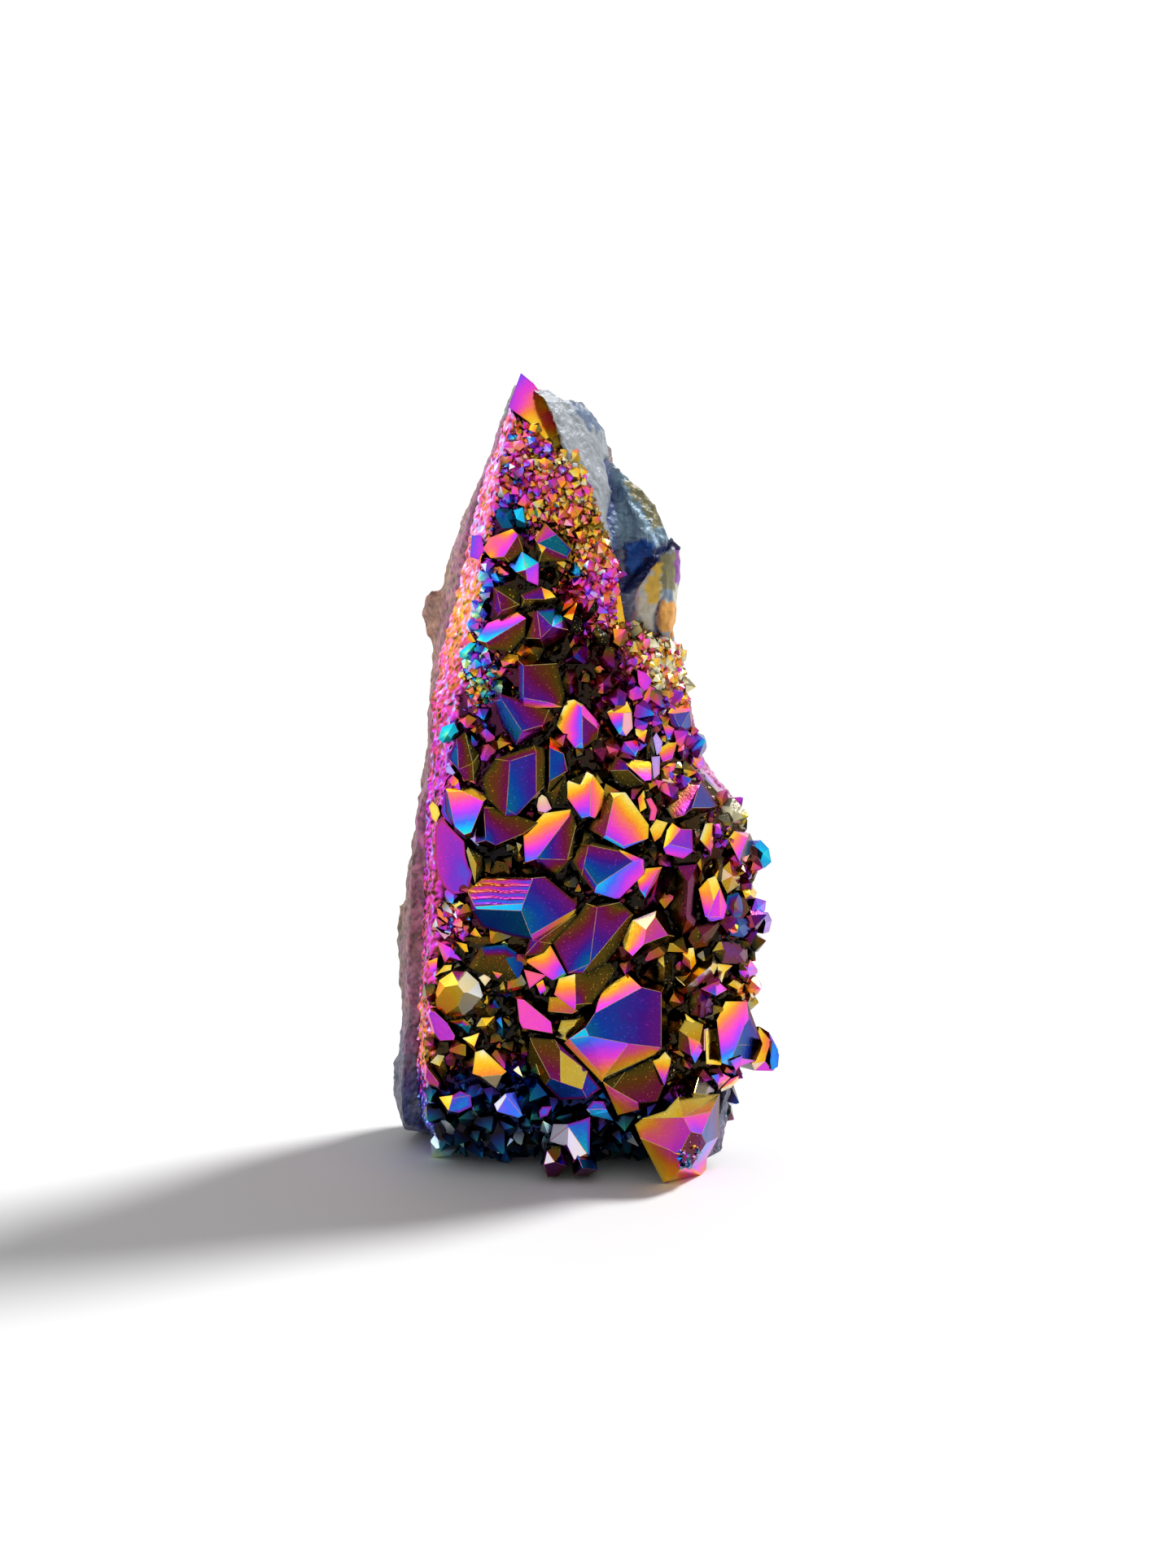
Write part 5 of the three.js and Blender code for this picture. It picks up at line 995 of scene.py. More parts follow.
# %% Finish of one crystal
RIM_FILM = 0.07
RIM_WIDTH = 0.6  # the dark facets thin to olive this near the crystal's outline
RIM_STRENGTH = 0.6
# painted shade: facets are painted darker within SHADE_WIDTH of the crystal's outline, and its sides are
# painted dark, darker the further they go below the outline
SHADE_WIDTH = 0.4
DARK_AT = 1.6  # how far below a crystal's outline its sides have gone dark
# painted highlight: a ridge is painted brighter than its facets by RIDGE_GLEAM, up to RIDGE_TONE_MOST
RIDGE_GLEAM = 0.28
RIDGE_TONE_MOST = 1.25


def near_share(away, width):
    return clamp(1 - away / width)


def crystal_finish(places, rim_count, depths, facets, facet_of, ribbed):
    """The function that gives the film, the painted light and the painted shade at the corners of a face."""
    fields = [film_over([places[corner] for corner in corners], films) for corners, _, films in facets]
    tones = [tone for _, tone, _ in facets]
    rim = np.array(places[:rim_count])
    edges = edges_between(rim, np.roll(rim, -1, axis=0))
    rim_top = float(max(depths[:rim_count]))

    # a ridge takes its facets' film and is painted brighter, as a painted highlight
    def on_ridge(vert, x, z):
        beside = [face[facet_of] - 1 for face in vert.link_faces if face[facet_of] > 0]
        count = max(len(beside), 1)
        level = sum(tones[number] for number in beside) / count
        film = sum([fields[number](x, z) for number in beside]) / count
        return film, min(level + RIDGE_GLEAM, RIDGE_TONE_MOST), 0.0

    def on_facet(number, x, z):
        tone, film = tones[number], fields[number](x, z)
        # on the ribbed facet the crests of the ribs are painted brighter, as painted light, and their film is
        # thinner
        if ribbed and number == 0:
            wave = rib_wave(x, z)
            film += 0.1 - 0.12 * wave
            tone = 0.35 + 1.0 * max(wave, 0)
        away = edge_distance(x, z, edges)
        thinning = near_share(away, RIM_WIDTH) * (1 - min(tone, 1)) * RIM_STRENGTH
        # painted shade along the crystal's outline
        shade = near_share(away, SHADE_WIDTH) * (0.45 if tone < 0.9 else 0.2)
        return film + (RIM_FILM - film) * thinning, tone, shade

    def finish(face):
        values = []
        for vert in face.verts:
            x, z = drawn_place(vert.co)
            if face[facet_of] == RIDGE:
                values.append(on_ridge(vert, x, z))
            # the sides are painted dark, and darker further down, as painted shade
            elif face[facet_of] == 0:
                values.append((RIM_FILM, 0.0, clamp(0.35 + (vert.co.y - rim_top) / DARK_AT)))
            else:
                values.append(on_facet(face[facet_of] - 1, x, z))
        return values

    return finish


print("shade half way to the edge:", near_share(SHADE_WIDTH / 2, SHADE_WIDTH))


# %% One crystal
def cut_crystal(shell, places, rim_count, depths, facets, ribbed=False, root=ROOT):
    depths = flatten_depths(places, depths, facets)
    block, facet_of = crystal_block(places, rim_count, depths, facets, root)
    soften_ridges(block, facet_of)
    refine(block, facet_of, RIBBED_STEP if ribbed else FACET_STEP)
    if ribbed:
        raise_ribs(block, facet_of)
    shell.add(block, crystal_finish(places, rim_count, depths, facets, facet_of, ribbed))


def cut_crystals():
    shell = Shell()
    for name, (rim, tips, lines) in CUT_CRYSTALS.items():
        names = RIM_NAMES[: len(rim)] + TIP_NAMES[: len(tips)]
        places = rim + [(x, z) for x, z, _ in tips]
        depths = [face_depth(x, z) - GIRDLES.get(name, GIRDLE) for x, z in rim]
        depths += [face_depth(x, z) - RISE * rise for x, z, rise in tips]
        facets = [read_facet(line, names) for line in lines]
        cut_crystal(shell, places, len(rim), depths, facets, ribbed=name == RIBBED)
    return shell.make("large_crystals")


crystals = cut_crystals()
print("large crystals have", len(crystals.data.polygons), "triangles")

# %% Thin plates
PLATE_ROOT = 1.8
PLATE_LOW, PLATE_TILT = 0.35, 0.65  # how high a corner stands with no film, and how much film adds


def thin_plates():
    shell = Shell()
    for rim, look in PLATES:
        tone, height, films = look.split()
        names = RIM_NAMES[: len(rim)]
        facet = read_facet(f"{names} {tone} {films}", names)
        rises = [RISE * float(height) * (PLATE_LOW + PLATE_TILT * film) for film in facet[2]]
        depths = [face_depth(x, z) - rise for (x, z), rise in zip(rim, rises)]
        cut_crystal(shell, rim, len(rim), depths, [facet], root=PLATE_ROOT)
    return shell.make("crystal_plates")


plates = thin_plates()
print("plates have", len(plates.data.polygons), "triangles")

# %% [markdown]
# ## Cutting a crystal from a block
#
# A crystal is a block bounded by flat faces. So each smaller point is made the same way: wrap its points in a
# convex hull, gather the hull's triangles that nearly share a plane, and cut a block once with each of those
# planes. That gives true flat facets with sharp ridges, which a plain hull of listed points doesn't
# have.

# %% Cutting tools
SAME_FACET = math.cos(math.radians(19))
TINY_FACE = 1e-9


def hull_planes(points):
    """The hull's faces, gathered into flat facets: a list of (normal, distance)."""
    hull = bmesh.new()
    for point in points:
        hull.verts.new(point)
    bmesh.ops.convex_hull(hull, input=hull.verts)
    middle = sum(points, Vector()) / len(points)
    facets = []
    for found in sorted(hull.faces, key=lambda face: -face.calc_area()):
        area, centre, normal = found.calc_area(), found.calc_center_median(), found.normal.copy()
        if area <= TINY_FACE:
            continue
        if normal.dot(centre - middle) < 0:
            normal.negate()
        for facet in facets:
            if facet[0].normalized().dot(normal) > SAME_FACET:
                facet[0] += normal * area
                facet[1] += centre * area
                facet[2] += area
                break
        else:
            facets.append([normal * area, centre * area, area])
    hull.free()
    flats = [(normal.normalized(), centre / area) for normal, centre, area in facets]
    return [(flat, flat.dot(centre)) for flat, centre in flats]


def cut_block(low, high, planes):
    """A box from low to high, cut by each plane (normal, distance)."""
    block = bmesh.new()
    bmesh.ops.create_cube(block, size=1)
    for vert in block.verts:
        vert.co = Vector(low[i] + (vert.co[i] + 0.5) * (high[i] - low[i]) for i in range(3))
    for normal, distance in planes:
        everything = block.verts[:] + block.edges[:] + block.faces[:]
        cut = bmesh.ops.bisect_plane(
            block, geom=everything, dist=1e-5, plane_co=normal * distance, plane_no=normal, clear_outer=True
        )
        edges = [part for part in cut["geom_cut"] if isinstance(part, bmesh.types.BMEdge)]
        open_edges = [edge for edge in edges if len(edge.link_faces) == 1]
        if len(open_edges) > 2:
            bmesh.ops.contextual_create(block, geom=open_edges)
    bmesh.ops.recalc_face_normals(block, faces=block.faces)
    return block


trial = cut_block((0, 0, 0), (1, 1, 1), [(Vector((1, 1, 1)).normalized(), 1.2)])
print("a cube with one corner cut off has", len(trial.faces), "faces")
trial.free()

# %% Reading a crystal's facets
FACING = {
    "left": (-1, 0), "right": (1, 0), "up": (0, 1), "down": (0, -1), "upleft": (-0.7, 0.7),
    "upright": (0.7, 0.7), "downleft": (-0.7, -0.7), "downright": (0.7, -0.7),
}


def read_facets(lines):
    facets = []
    for entry in lines:
        facing, *tone, films = entry.split()
        hollow, tip = films.split("-")
        facets.append((facing, read_painted_light(tone), FILM[hollow], FILM[tip]))
    return facets


def facet_for(normal, facets):
    """The listed facet whose facing is nearest to the normal's."""
    flat = Vector((normal.x, normal.z))
    best, chosen = -9, facets[0]
    for facet in facets:
        if facet[0] == "front":
            score = 1 - 1.9 * flat.length
        else:
            facing = Vector(FACING[facet[0]])
            score = facing.normalized().dot(flat.normalized()) if flat.length > 0.02 else 0
        if score > best:
            best, chosen = score, facet
    return chosen


print(read_facets(CRYSTALS["cyan_wedge"][2])[0])

# %% Smaller points
BLOCK_MARGIN = 0.5
FILM_CHANCE = 0.03  # how much the film differs from facet to facet


def point_corners(rim, tips, girdle):
    middle = tuple(np.mean(rim, axis=0))
    corners = []
    for x, z in rim:
        corners.append(undrawn(x, z, face_depth(x, z) - girdle))
        corners.append(root_of(x, z, middle))
    return corners + [undrawn(x, z, face_depth(x, z) - RISE * rise) for x, z, rise in tips]


def point_finish(facets, girdle, top, chance):
    """The function that gives the film, the painted light and the painted shade at the corners of a face. The
    painted light comes from the way the facet faces; the film and the painted shade go by height above the
    girdle, so each point is painted dark at its foot.
    """

    def finish(face):
        _, tone, hollow, tip = facet_for(face.normal, facets)
        shift = chance.uniform(-FILM_CHANCE, FILM_CHANCE)
        values = []
        for vert in face.verts:
            height = face_depth(*drawn_place(vert.co)) - girdle - vert.co.y
            film = hollow + (tip - hollow) * clamp(height / top) + shift
            values.append((film, tone, clamp(0.25 - height / DARK_AT)))
        return values

    return finish


def smaller_points():
    shell = Shell()
    chance = random.Random(7)
    entries = [(*entry, GIRDLE) for entry in CRYSTALS.values()]
    entries += [(*entry, GRAIN_GIRDLE) for entry in grains]
    for rim, tips, lines, girdle in entries:
        corners = point_corners(rim, tips, girdle)
        low = [min(corner[i] for corner in corners) - BLOCK_MARGIN for i in range(3)]
        high = [max(corner[i] for corner in corners) + BLOCK_MARGIN for i in range(3)]
        block = cut_block(low, high, [*hull_planes(corners), (Vector((0, 0, -1)), 0)])
        top = RISE * max(rise for _, _, rise in tips) - girdle
        shell.add(block, point_finish(read_facets(lines), girdle, top, chance))
    return shell.make("smaller_points")


points = smaller_points()
print("smaller points have", len(points.data.polygons), "facets")

# %% [markdown]
# ## The quartz layer
#
# Between the crystals lies the layer that they grow out of. It is a stack of rings, one for each height:
# along the front from left to right, back along the right side, and round to the broken edge on the left.
# Noise at three sizes breaks up its surface.

# %% Relief of the layer
LAYER = 9
LAYER_TOP = 144.6
RING_STEP = 0.65


def swell_at(x, y, z):
    place = Vector((x, y, z))
    return (
        0.9 * noise.noise(place * 0.22) + 0.55 * noise.noise(place * 0.6 + Vector((7, 3, 1)))
        + 0.3 * noise.noise(place * 1.5)
    )


def torn_at(x, y, z):
    """Relief of the broken left face: steep steps that run along the tower, in sheets of growth."""
    place = Vector((x * 0.9, y * 0.9, z * 0.22))
    sheets = abs(noise.noise(place * 0.9)) + 0.6 * abs(noise.noise(place * 2.1 + Vector((4, 9, 2))))
    return 1.1 * sheets + 0.5 * noise.noise(Vector((x, y, z)) * 0.8) - 0.6


print("relief at one spot:", round(swell_at(0, -20, 60), 2), "and", round(torn_at(-30, -12, 60), 2))

# %% One ring of the layer
FRONT_PARTS, SIDE_PARTS, BACK_PARTS, TORN_PARTS = 84, 8, 8, 20  # divisions of a ring's four stretches
FRONT_LIMIT = 3  # at the undercut foot the layer reaches no further back than this
BACK_LIMIT = 8


def back_depth(x, z):
    return min(bed_depth(x, z) + LAYER - 0.2, BACK_LIMIT)


def layer_ring(z):
    edge, seam, right = between(WALL, z)
    if z > BARE_EDGE[0][0]:
        right = min(right, between(BARE_EDGE, z)[0])
    right = max(right, edge + 0.8)
    across = [edge + (right - edge) * i / FRONT_PARTS for i in range(FRONT_PARTS + 1)]
    ring = [(x, min(bed_depth(x, z), FRONT_LIMIT)) for x in across]
    front_y, back_y = ring[-1][1], back_depth(right, z)
    ring += [(right, front_y + (back_y - front_y) * i / SIDE_PARTS) for i in range(1, SIDE_PARTS + 1)]
    behind = [right + (seam - right) * i / BACK_PARTS for i in range(1, BACK_PARTS + 1)]
    ring += [(x, back_depth(x, z)) for x in behind]
    front_left, back_left = ring[0][1], ring[-1][1]
    for i in range(1, TORN_PARTS):
        share = i / TORN_PARTS
        ring.append((seam + (edge - seam) * share, back_left + (front_left - back_left) * share))
    return ring


print("places in a ring:", len(layer_ring(0)))


# %% Quartz layer
def quartz_layer():
    heights = np.arange(0, LAYER_TOP, RING_STEP)
    verts, faces = [], []
    for z in heights:
        for x, y in layer_ring(z):
            side = 1 if x < between(WALL, z)[0] + 0.5 else 0
            push = 0.6 * swell_at(x, y, z) * (1 - 0.4 * side)
            verts.append((x - side * 0.9 * torn_at(x, y, z), y + push, z))
    count = len(layer_ring(0))
    for r in range(len(heights) - 1):
        for i in range(count):
            a = r * count + i
            b = r * count + (i + 1) % count
            faces.append((a, b, b + count, a + count))
    last = (len(heights) - 1) * count
    faces.append(tuple(reversed(range(count))))
    faces.append(tuple(range(last, last + count)))
    mesh = bpy.data.meshes.new("quartz_layer")
    mesh.from_pydata([Vector(vert) * MM for vert in verts], [], faces)
    return put_in_scene("quartz_layer", mesh)


layer = quartz_layer()
print("layer faces:", len(layer.data.polygons))

# %% [markdown]
# ## Colour zones
#
# Where crystals are too small to list, their colour follows the part of the front that they grow on: pink and
# gold chips at the top, cream along the upper right, near black with steel blue at the foot, where the near
# black is painted shade. Each zone is a soft spot: x, z, radius, film, how much the film varies, and the
# painted light, how bright the crystals there are painted.

# %% Zones
ZONES = [
    (-15, 136, 7, 0.52, 0.32, 0.9), (-7, 133, 6, 0.22, 0.3, 1.0), (-16, 127, 5, 0.5, 0.25, 0.7),
    (-18, 121, 4, 0.5, 0.25, 0.6), (3, 111, 5, 0.42, 0.14, 1.1), (0, 124, 6, 0.16, 0.08, 1.0),
    (-6, 126, 5, 0.3, 0.2, 0.6), (-7, 113, 4, 0.12, 0.12, 0.1), (-20.5, 110, 3, 0.66, 0.3, 1.2),
    (-20, 94, 5, 0.46, 0.5, 0.9), (-12, 104, 4, 0.2, 0.2, 0.1), (13, 99, 6, 0.06, 0.3, 1.3),
    (14, 88, 4, 0.42, 0.2, 0.6), (6, 98, 4, 0.5, 0.2, 0.5), (0, 95, 5, 0.2, 0.2, 0.0),
    (14, 78, 4, 0.3, 0.35, 1.2), (4, 84, 5, 0.3, 0.3, 0.2), (-25, 90, 4, 0.5, 0.15, 0.8),
    (-25, 78, 4, 0.45, 0.3, 0.5), (-19, 61, 5, 0.1, 0.1, 0.0), (-26, 49, 4, 0.5, 0.26, 1.0),
    (-16, 44, 4, 0.2, 0.2, 0.5), (-24, 41, 4, 0.1, 0.15, 0.1), (-20, 34, 4, 0.12, 0.14, 0.2),
    (-20, 27, 4, 0.1, 0.16, 0.1), (-29, 24, 4, 0.2, 0.2, 0.4), (-20, 8, 8, 0.78, 0.1, -0.5),
    (-8, 12, 5, 0.78, 0.1, -0.5), (4, 7, 7, 0.75, 0.2, -0.4), (-2, 36, 6, 0.15, 0.2, 0.1),
    (20, 24, 5, 0.18, 0.16, 0.35), (18, 36, 5, 0.16, 0.12, 0.25), (27, 46, 7, 0.2, 0.26, -0.05),
    (32, 60, 6, 0.33, 0.3, 0.6), (27, 70, 5, 0.22, 0.35, 0.9), (23, 82, 5, 0.28, 0.35, 0.8),
    (12, 62, 5, 0.2, 0.2, 0.2), (33, 34, 5, 0.25, 0.3, 0.7), (27, 16, 5, 0.4, 0.3, 0.4),
    (19, 94, 5, 0.08, 0.3, 1.2), (3, 70, 8, 0.15, 0.2, 0.0), (0, 48, 8, 0.15, 0.2, 0.0),
]


def zone_values(x, z):
    """Soft blend of the zones at each x and z: film, its spread, and painted light."""
    spots = np.array(ZONES)
    away = ((x[:, None] - spots[:, 0]) ** 2 + (z[:, None] - spots[:, 1]) ** 2) / spots[:, 2] ** 2
    weight = np.exp(-away) + 1e-9
    total = weight.sum(1)
    return [(weight * spots[:, k]).sum(1) / total for k in (3, 4, 5)]


print("zones:", len(ZONES))

# %% [markdown]
# ## Where small crystals may grow
#
# The layer's mesh carries four shares for the scatter that follows: grow for medium crystals, foot for the
# stout ones below, flakes for the places where the layer is broken into bright flakes, and chips for the
# crumbs in the crevices. Nothing grows where a larger crystal already stands.

# %% Free places on the layer
OUTLINES = [entry[0] for entry in [*CUT_CRYSTALS.values(), *CRYSTALS.values(), *grains, *PLATES]]
BOXES = [[(min(values), max(values)) for values in zip(*outline)] for outline in OUTLINES]
GOLD_STRIP = read_corners("4.6 105, 5 116, 6.6 115, 6.6 106")  # smooth, where the layer runs thin
# the flaky places: x and z of the middle, half width, half height
FLAKY = [
    (-8, 133, 14, 14), (0, 113, 7, 13), (-21, 112, 3.2, 12), (2.5, 113, 4.5, 9), (-20.5, 96, 4, 9),
    (-26, 49, 3.5, 4), (13, 98, 8, 9), (16, 89, 7, 5),
]


def covered(x, z):
    """Whether a large crystal stands on this spot of the bed."""
    for outline, ((x0, x1), (z0, z1)) in zip(OUTLINES, BOXES):
        if x0 <= x <= x1 and z0 <= z <= z1 and in_outline(x, z, outline):
            return True
    return False


def flake_share(x, z):
    away = [math.hypot((x - cx) / wide, (z - cz) / tall) for cx, cz, wide, tall in FLAKY]
    return max(clamp(2.2 - 2.2 * distance) for distance in away)


print("outlines to keep clear of:", len(OUTLINES))

# %% Shares on the layer
MEDIUM_UP_TO = 118  # above this height only flakes and small points grow
# below FOOT_UP_TO the points are painted nearly black, as painted shade at the foot
FOOT_UP_TO = 17  # below this height the points are stout and nearly black
FEW_CHIPS = 0.3  # how densely chips lie in the crevices, against the flaky places
STRIP_CHIPS = 0.12
FRONT_REACH = 2.2  # the relief that still counts as the layer's front


def growth_at(x, y, z):
    """The shares of grow, flakes, foot and chips at one place on the layer."""
    drawn = drawn_place(Vector((x, y, z)))
    front = y < bed_depth(x, z) + FRONT_REACH and x > between(WALL, z)[0] + 1
    free = front and not covered(*drawn)
    smooth = in_outline(*drawn, GOLD_STRIP)
    flaky = flake_share(*drawn)
    rough = free and not smooth
    grow = 1 - 0.8 * flaky if rough and FOOT_UP_TO < z < MEDIUM_UP_TO else 0.0
    foot = 1.0 if rough and z < FOOT_UP_TO else 0.0
    chips = STRIP_CHIPS if smooth else FEW_CHIPS + (1 - FEW_CHIPS) * flaky
    return grow, flaky if rough else 0.0, foot, chips if free else 0.0


shares = [growth_at(*(vert.co / MM)) for vert in layer.data.vertices]
store(layer.data, "POINT", **dict(zip(("grow", "flakes", "foot", "chips"), zip(*shares))))
print("share of the layer left free:", round(sum(share[0] for share in shares) / len(shares), 2))

# %% [markdown]
# ## Small crystals
#
# A quartz point is a six-sided prism under a six-sided pyramid whose faces stand about 52 degrees from the
# axis. No two of its faces are the same size. A few such points are cut as patterns, and a Geometry Nodes
# tree scatters them over the free parts of the layer. The tree has named inputs for spacing, sizes and lean,
# and a fixed seed.

# %% Patterns
PYRAMID = math.radians(52)
PATTERN_HEIGHTS = (0.2, 0.5, 0.9, 1.2, 0.4)
FIRST_SEED = 3


def quartz_point(name, seed, height):
    chance = random.Random(seed)
    planes = [(Vector((0, 0, -1)), 1.2)]
    for i in range(6):
        turn = i * math.pi / 3
        out_way = Vector((math.cos(turn), math.sin(turn), 0))
        planes.append((out_way, chance.uniform(0.72, 1.0)))
        slope = out_way * math.sin(PYRAMID) + Vector((0, 0, math.cos(PYRAMID)))
        reach = chance.uniform(0.62, 0.86)
        planes.append((slope, reach * math.sin(PYRAMID) + 0.5 * height * math.cos(PYRAMID)))
    block = cut_block((-1.3, -1.3, -1.3), (1.3, 1.3, 3), planes)
    mesh = bpy.data.meshes.new(name)
    block.to_mesh(mesh)
    block.free()
    top = max(vert.co.z for vert in mesh.vertices)
    store(mesh, "POINT", rise=[max(vert.co.z, -0.8) / top for vert in mesh.vertices])
    return bpy.data.objects.new(name, mesh)


patterns = bpy.data.collections.new("patterns")
for number, height in enumerate(PATTERN_HEIGHTS):
    patterns.objects.link(quartz_point(f"pattern_{number}", number + FIRST_SEED, height))

# %% Inputs of the scatter tree
SCATTER_INPUTS = {
    "Geometry": "Geometry", "Spacing": "Float", "Smallest": "Float", "Largest": "Float", "Lean": "Float",
    "Seed": "Int", "Where": "String", "Patterns": "Collection", "Finish": "Material",
}
DENSEST = 4e6  # points on a square metre, before the spacing thins them out

scatter = bpy.data.node_groups.new("scatter_points", "GeometryNodeTree")
for name, kind in SCATTER_INPUTS.items():
    scatter.interface.new_socket(name, in_out="INPUT", socket_type="NodeSocket" + kind)
scatter.interface.new_socket("Geometry", in_out="OUTPUT", socket_type="NodeSocketGeometry")
given = new_node(scatter, "NodeGroupInput").outputs
print("inputs:", [item.name for item in scatter.interface.items_tree if item.in_out == "INPUT"])

# %% Spots and the way their crystals lean
where = new_node(scatter, "GeometryNodeInputNamedAttribute", {"Name": given["Where"]}, data_type="FLOAT")
spots = new_node(scatter, "GeometryNodeDistributePointsOnFaces", {
    "Mesh": given["Geometry"], "Distance Min": given["Spacing"], "Density Max": DENSEST,
    "Density Factor": where.outputs["Attribute"], "Seed": given["Seed"],
}, distribute_method="POISSON").outputs
other_way = new_node(scatter, "ShaderNodeMath", {0: given["Lean"], 1: -1}, operation="MULTIPLY").outputs[0]
least = new_node(scatter, "ShaderNodeCombineXYZ", {0: other_way, 1: other_way}).outputs[0]
most = new_node(
    scatter, "ShaderNodeCombineXYZ", {0: given["Lean"], 1: given["Lean"], 2: 2 * math.pi}
).outputs[0]
lean = new_node(
    scatter, "FunctionNodeRandomValue", {0: least, 1: most, "Seed": given["Seed"]}, data_type="FLOAT_VECTOR"
).outputs[0]
turn = new_node(scatter, "FunctionNodeEulerToRotation", {0: lean}).outputs[0]
aim = new_node(
    scatter, "FunctionNodeRotateRotation", {0: spots["Rotation"], 1: turn}, rotation_space="LOCAL"
).outputs[0]
print("nodes so far:", len(scatter.nodes))

# %% A pattern on every spot
OWN_SEED = 11  # for the chance value that each crystal keeps, read when it is tinted

size = new_node(
    scatter, "FunctionNodeRandomValue", {2: given["Smallest"], 3: given["Largest"]}, data_type="FLOAT"
).outputs[1]
family = new_node(scatter, "GeometryNodeCollectionInfo", {
    "Collection": given["Patterns"], "Separate Children": True, "Reset Children": True,
}).outputs[0]
placed = new_node(scatter, "GeometryNodeInstanceOnPoints", {
    "Points": spots["Points"], "Instance": family, "Pick Instance": True, "Rotation": aim, "Scale": size,
}).outputs[0]
own = new_node(scatter, "FunctionNodeRandomValue", {"Seed": OWN_SEED}, data_type="FLOAT").outputs[1]
kept = new_node(scatter, "GeometryNodeStoreNamedAttribute", {
    "Geometry": placed, "Name": "own", "Value": own,
}, data_type="FLOAT", domain="INSTANCE").outputs[0]
real = new_node(scatter, "GeometryNodeRealizeInstances", {0: kept}).outputs[0]
finished = new_node(scatter, "GeometryNodeSetMaterial", {"Geometry": real, "Material": given["Finish"]})
new_node(scatter, "NodeGroupOutput", {0: finished.outputs[0]})
print("scatter tree has", len(scatter.nodes), "nodes")


# %% Grow a crop of small crystals
def settle(bearer):
    """Replaces an object's mesh by what its modifiers make of it."""
    ready = bearer.evaluated_get(bpy.context.evaluated_depsgraph_get())
    mesh = bpy.data.meshes.new_from_object(ready)
    bearer.modifiers.clear()
    bearer.data = mesh


def grow_crop(name, finish, **inputs):
    """Runs the scatter tree on a copy of the layer and returns the result as a plain mesh object."""
    bearer = put_in_scene(name, layer.data.copy())
    modifier = bearer.modifiers.new("scatter", "NODES")
    modifier.node_group = scatter
    values = dict(inputs, Patterns=patterns, Finish=finish)
    for item in scatter.interface.items_tree:
        if item.in_out == "INPUT" and item.name in values:
            modifier[item.identifier] = values[item.name]
    settle(bearer)
    bearer.data.name = name
    return bearer


print("growing tools ready")

# %% [markdown]
# ## Tints of the small crystals
#
# Each facet of a crop gets its film and its painted light from its zone, its own crystal's chance and the way
# it
# faces: a facet that faces left, to the front and down is painted brighter. At the foot most points are
# painted nearly black, as painted shade, and a few that face that way are painted pale steel, a painted
# highlight.
# Among the flakes a few facets that face that way get a painted glint, nearly white. Low on every small
# crystal the colour is painted dark, as painted shade.

# %% Reading a mesh as arrays
def read_values(holder, key, width=1, kind=float):
    """One named value of every item in a mesh's list, as an array."""
    values = np.zeros(len(holder) * width, dtype=kind)
    holder.foreach_get(key, values)
    return values.reshape(-1, width) if width > 1 else values


print("the layer's lowest height:", read_values(layer.data.vertices, "co", 3)[:, 2].min())

# %% Tinting a crop
# painted light: facets that face LIT_FROM are painted brighter
LIT_FROM = Vector((-0.75, -0.35, -0.45)).normalized()  # the way that bright facets mostly face
# painted glints and highlights: some lit flake facets are painted nearly white, the flakes are painted
# brighter, and a few lit foot points are painted pale steel
PALE_SHARE = 0.35  # how many of the lit facets of the flakes are nearly white
FLAKE_LIFT = 0.35  # how much brighter the flakes are than the other crops
STEELY_ABOVE = 0.82  # a crystal at the foot is steel when its own chance value is above this
STEEL_UP_TO = FOOT_UP_TO - 3


def stand_on_floor(mesh):
    spots = read_values(mesh.vertices, "co", 3)
    spots[:, 2] = np.maximum(spots[:, 2], 0)
    mesh.vertices.foreach_set("co", spots.ravel())


def tint_crop(made, seed, lift):
    mesh = made.data
    stand_on_floor(mesh)
    chance = np.random.default_rng(seed)
    faces = len(mesh.polygons)
    centre = read_values(mesh.polygons, "center", 3) / MM
    normal = read_values(mesh.polygons, "normal", 3)
    corner_vert = read_values(mesh.loops, "vertex_index", kind=np.int32)
    total = read_values(mesh.polygons, "loop_total", kind=np.int32)
    own = read_values(mesh.attributes["own"].data, "value")[corner_vert]
    rise = read_values(mesh.attributes["rise"].data, "value")[corner_vert]
    film, spread, tone = zone_values(centre[:, 0], centre[:, 2])
    own = own[np.concatenate(([0], np.cumsum(total)[:-1]))]
    film = film + spread * (2 * own - 1) + chance.uniform(-0.06, 0.06, faces)
    # painted light from which way the facet faces
    lit = normal @ np.array(LIT_FROM)
    tone = lift + 0.8 * tone - 0.2 + 0.8 * lit + chance.uniform(-0.3, 0.3, faces)
    corner_film = np.repeat(film, total) + 0.3 * (np.clip(rise, 0, 1) - 0.4)
    # painted highlight on a few lit foot points, and painted shade, nearly black, on the rest of the foot
    steely = (own > STEELY_ABOVE) & (centre[:, 2] < STEEL_UP_TO) & (lit > 0.2)
    foot = np.clip((FOOT_UP_TO - centre[:, 2]) / 5, 0, 1) * np.where(steely, 0.0, 0.9 + 0.1 * own)
    # painted glints, nearly white
    glint = (lit > 0.5) & (chance.random(faces) < PALE_SHARE * lift / FLAKE_LIFT)
    tone = tone + np.where(steely, 1.9, 0) + np.where(glint, 1.0, 0)
    # painted shade low on each crystal and at the foot
    deep = np.clip(0.6 - 1.3 * rise + np.repeat(foot, total), 0, 1)
    store(mesh, "CORNER", film=corner_film, deep=deep)
    store(mesh, "FACE", tone=tone)


print("lit from:", [round(value, 2) for value in LIT_FROM])

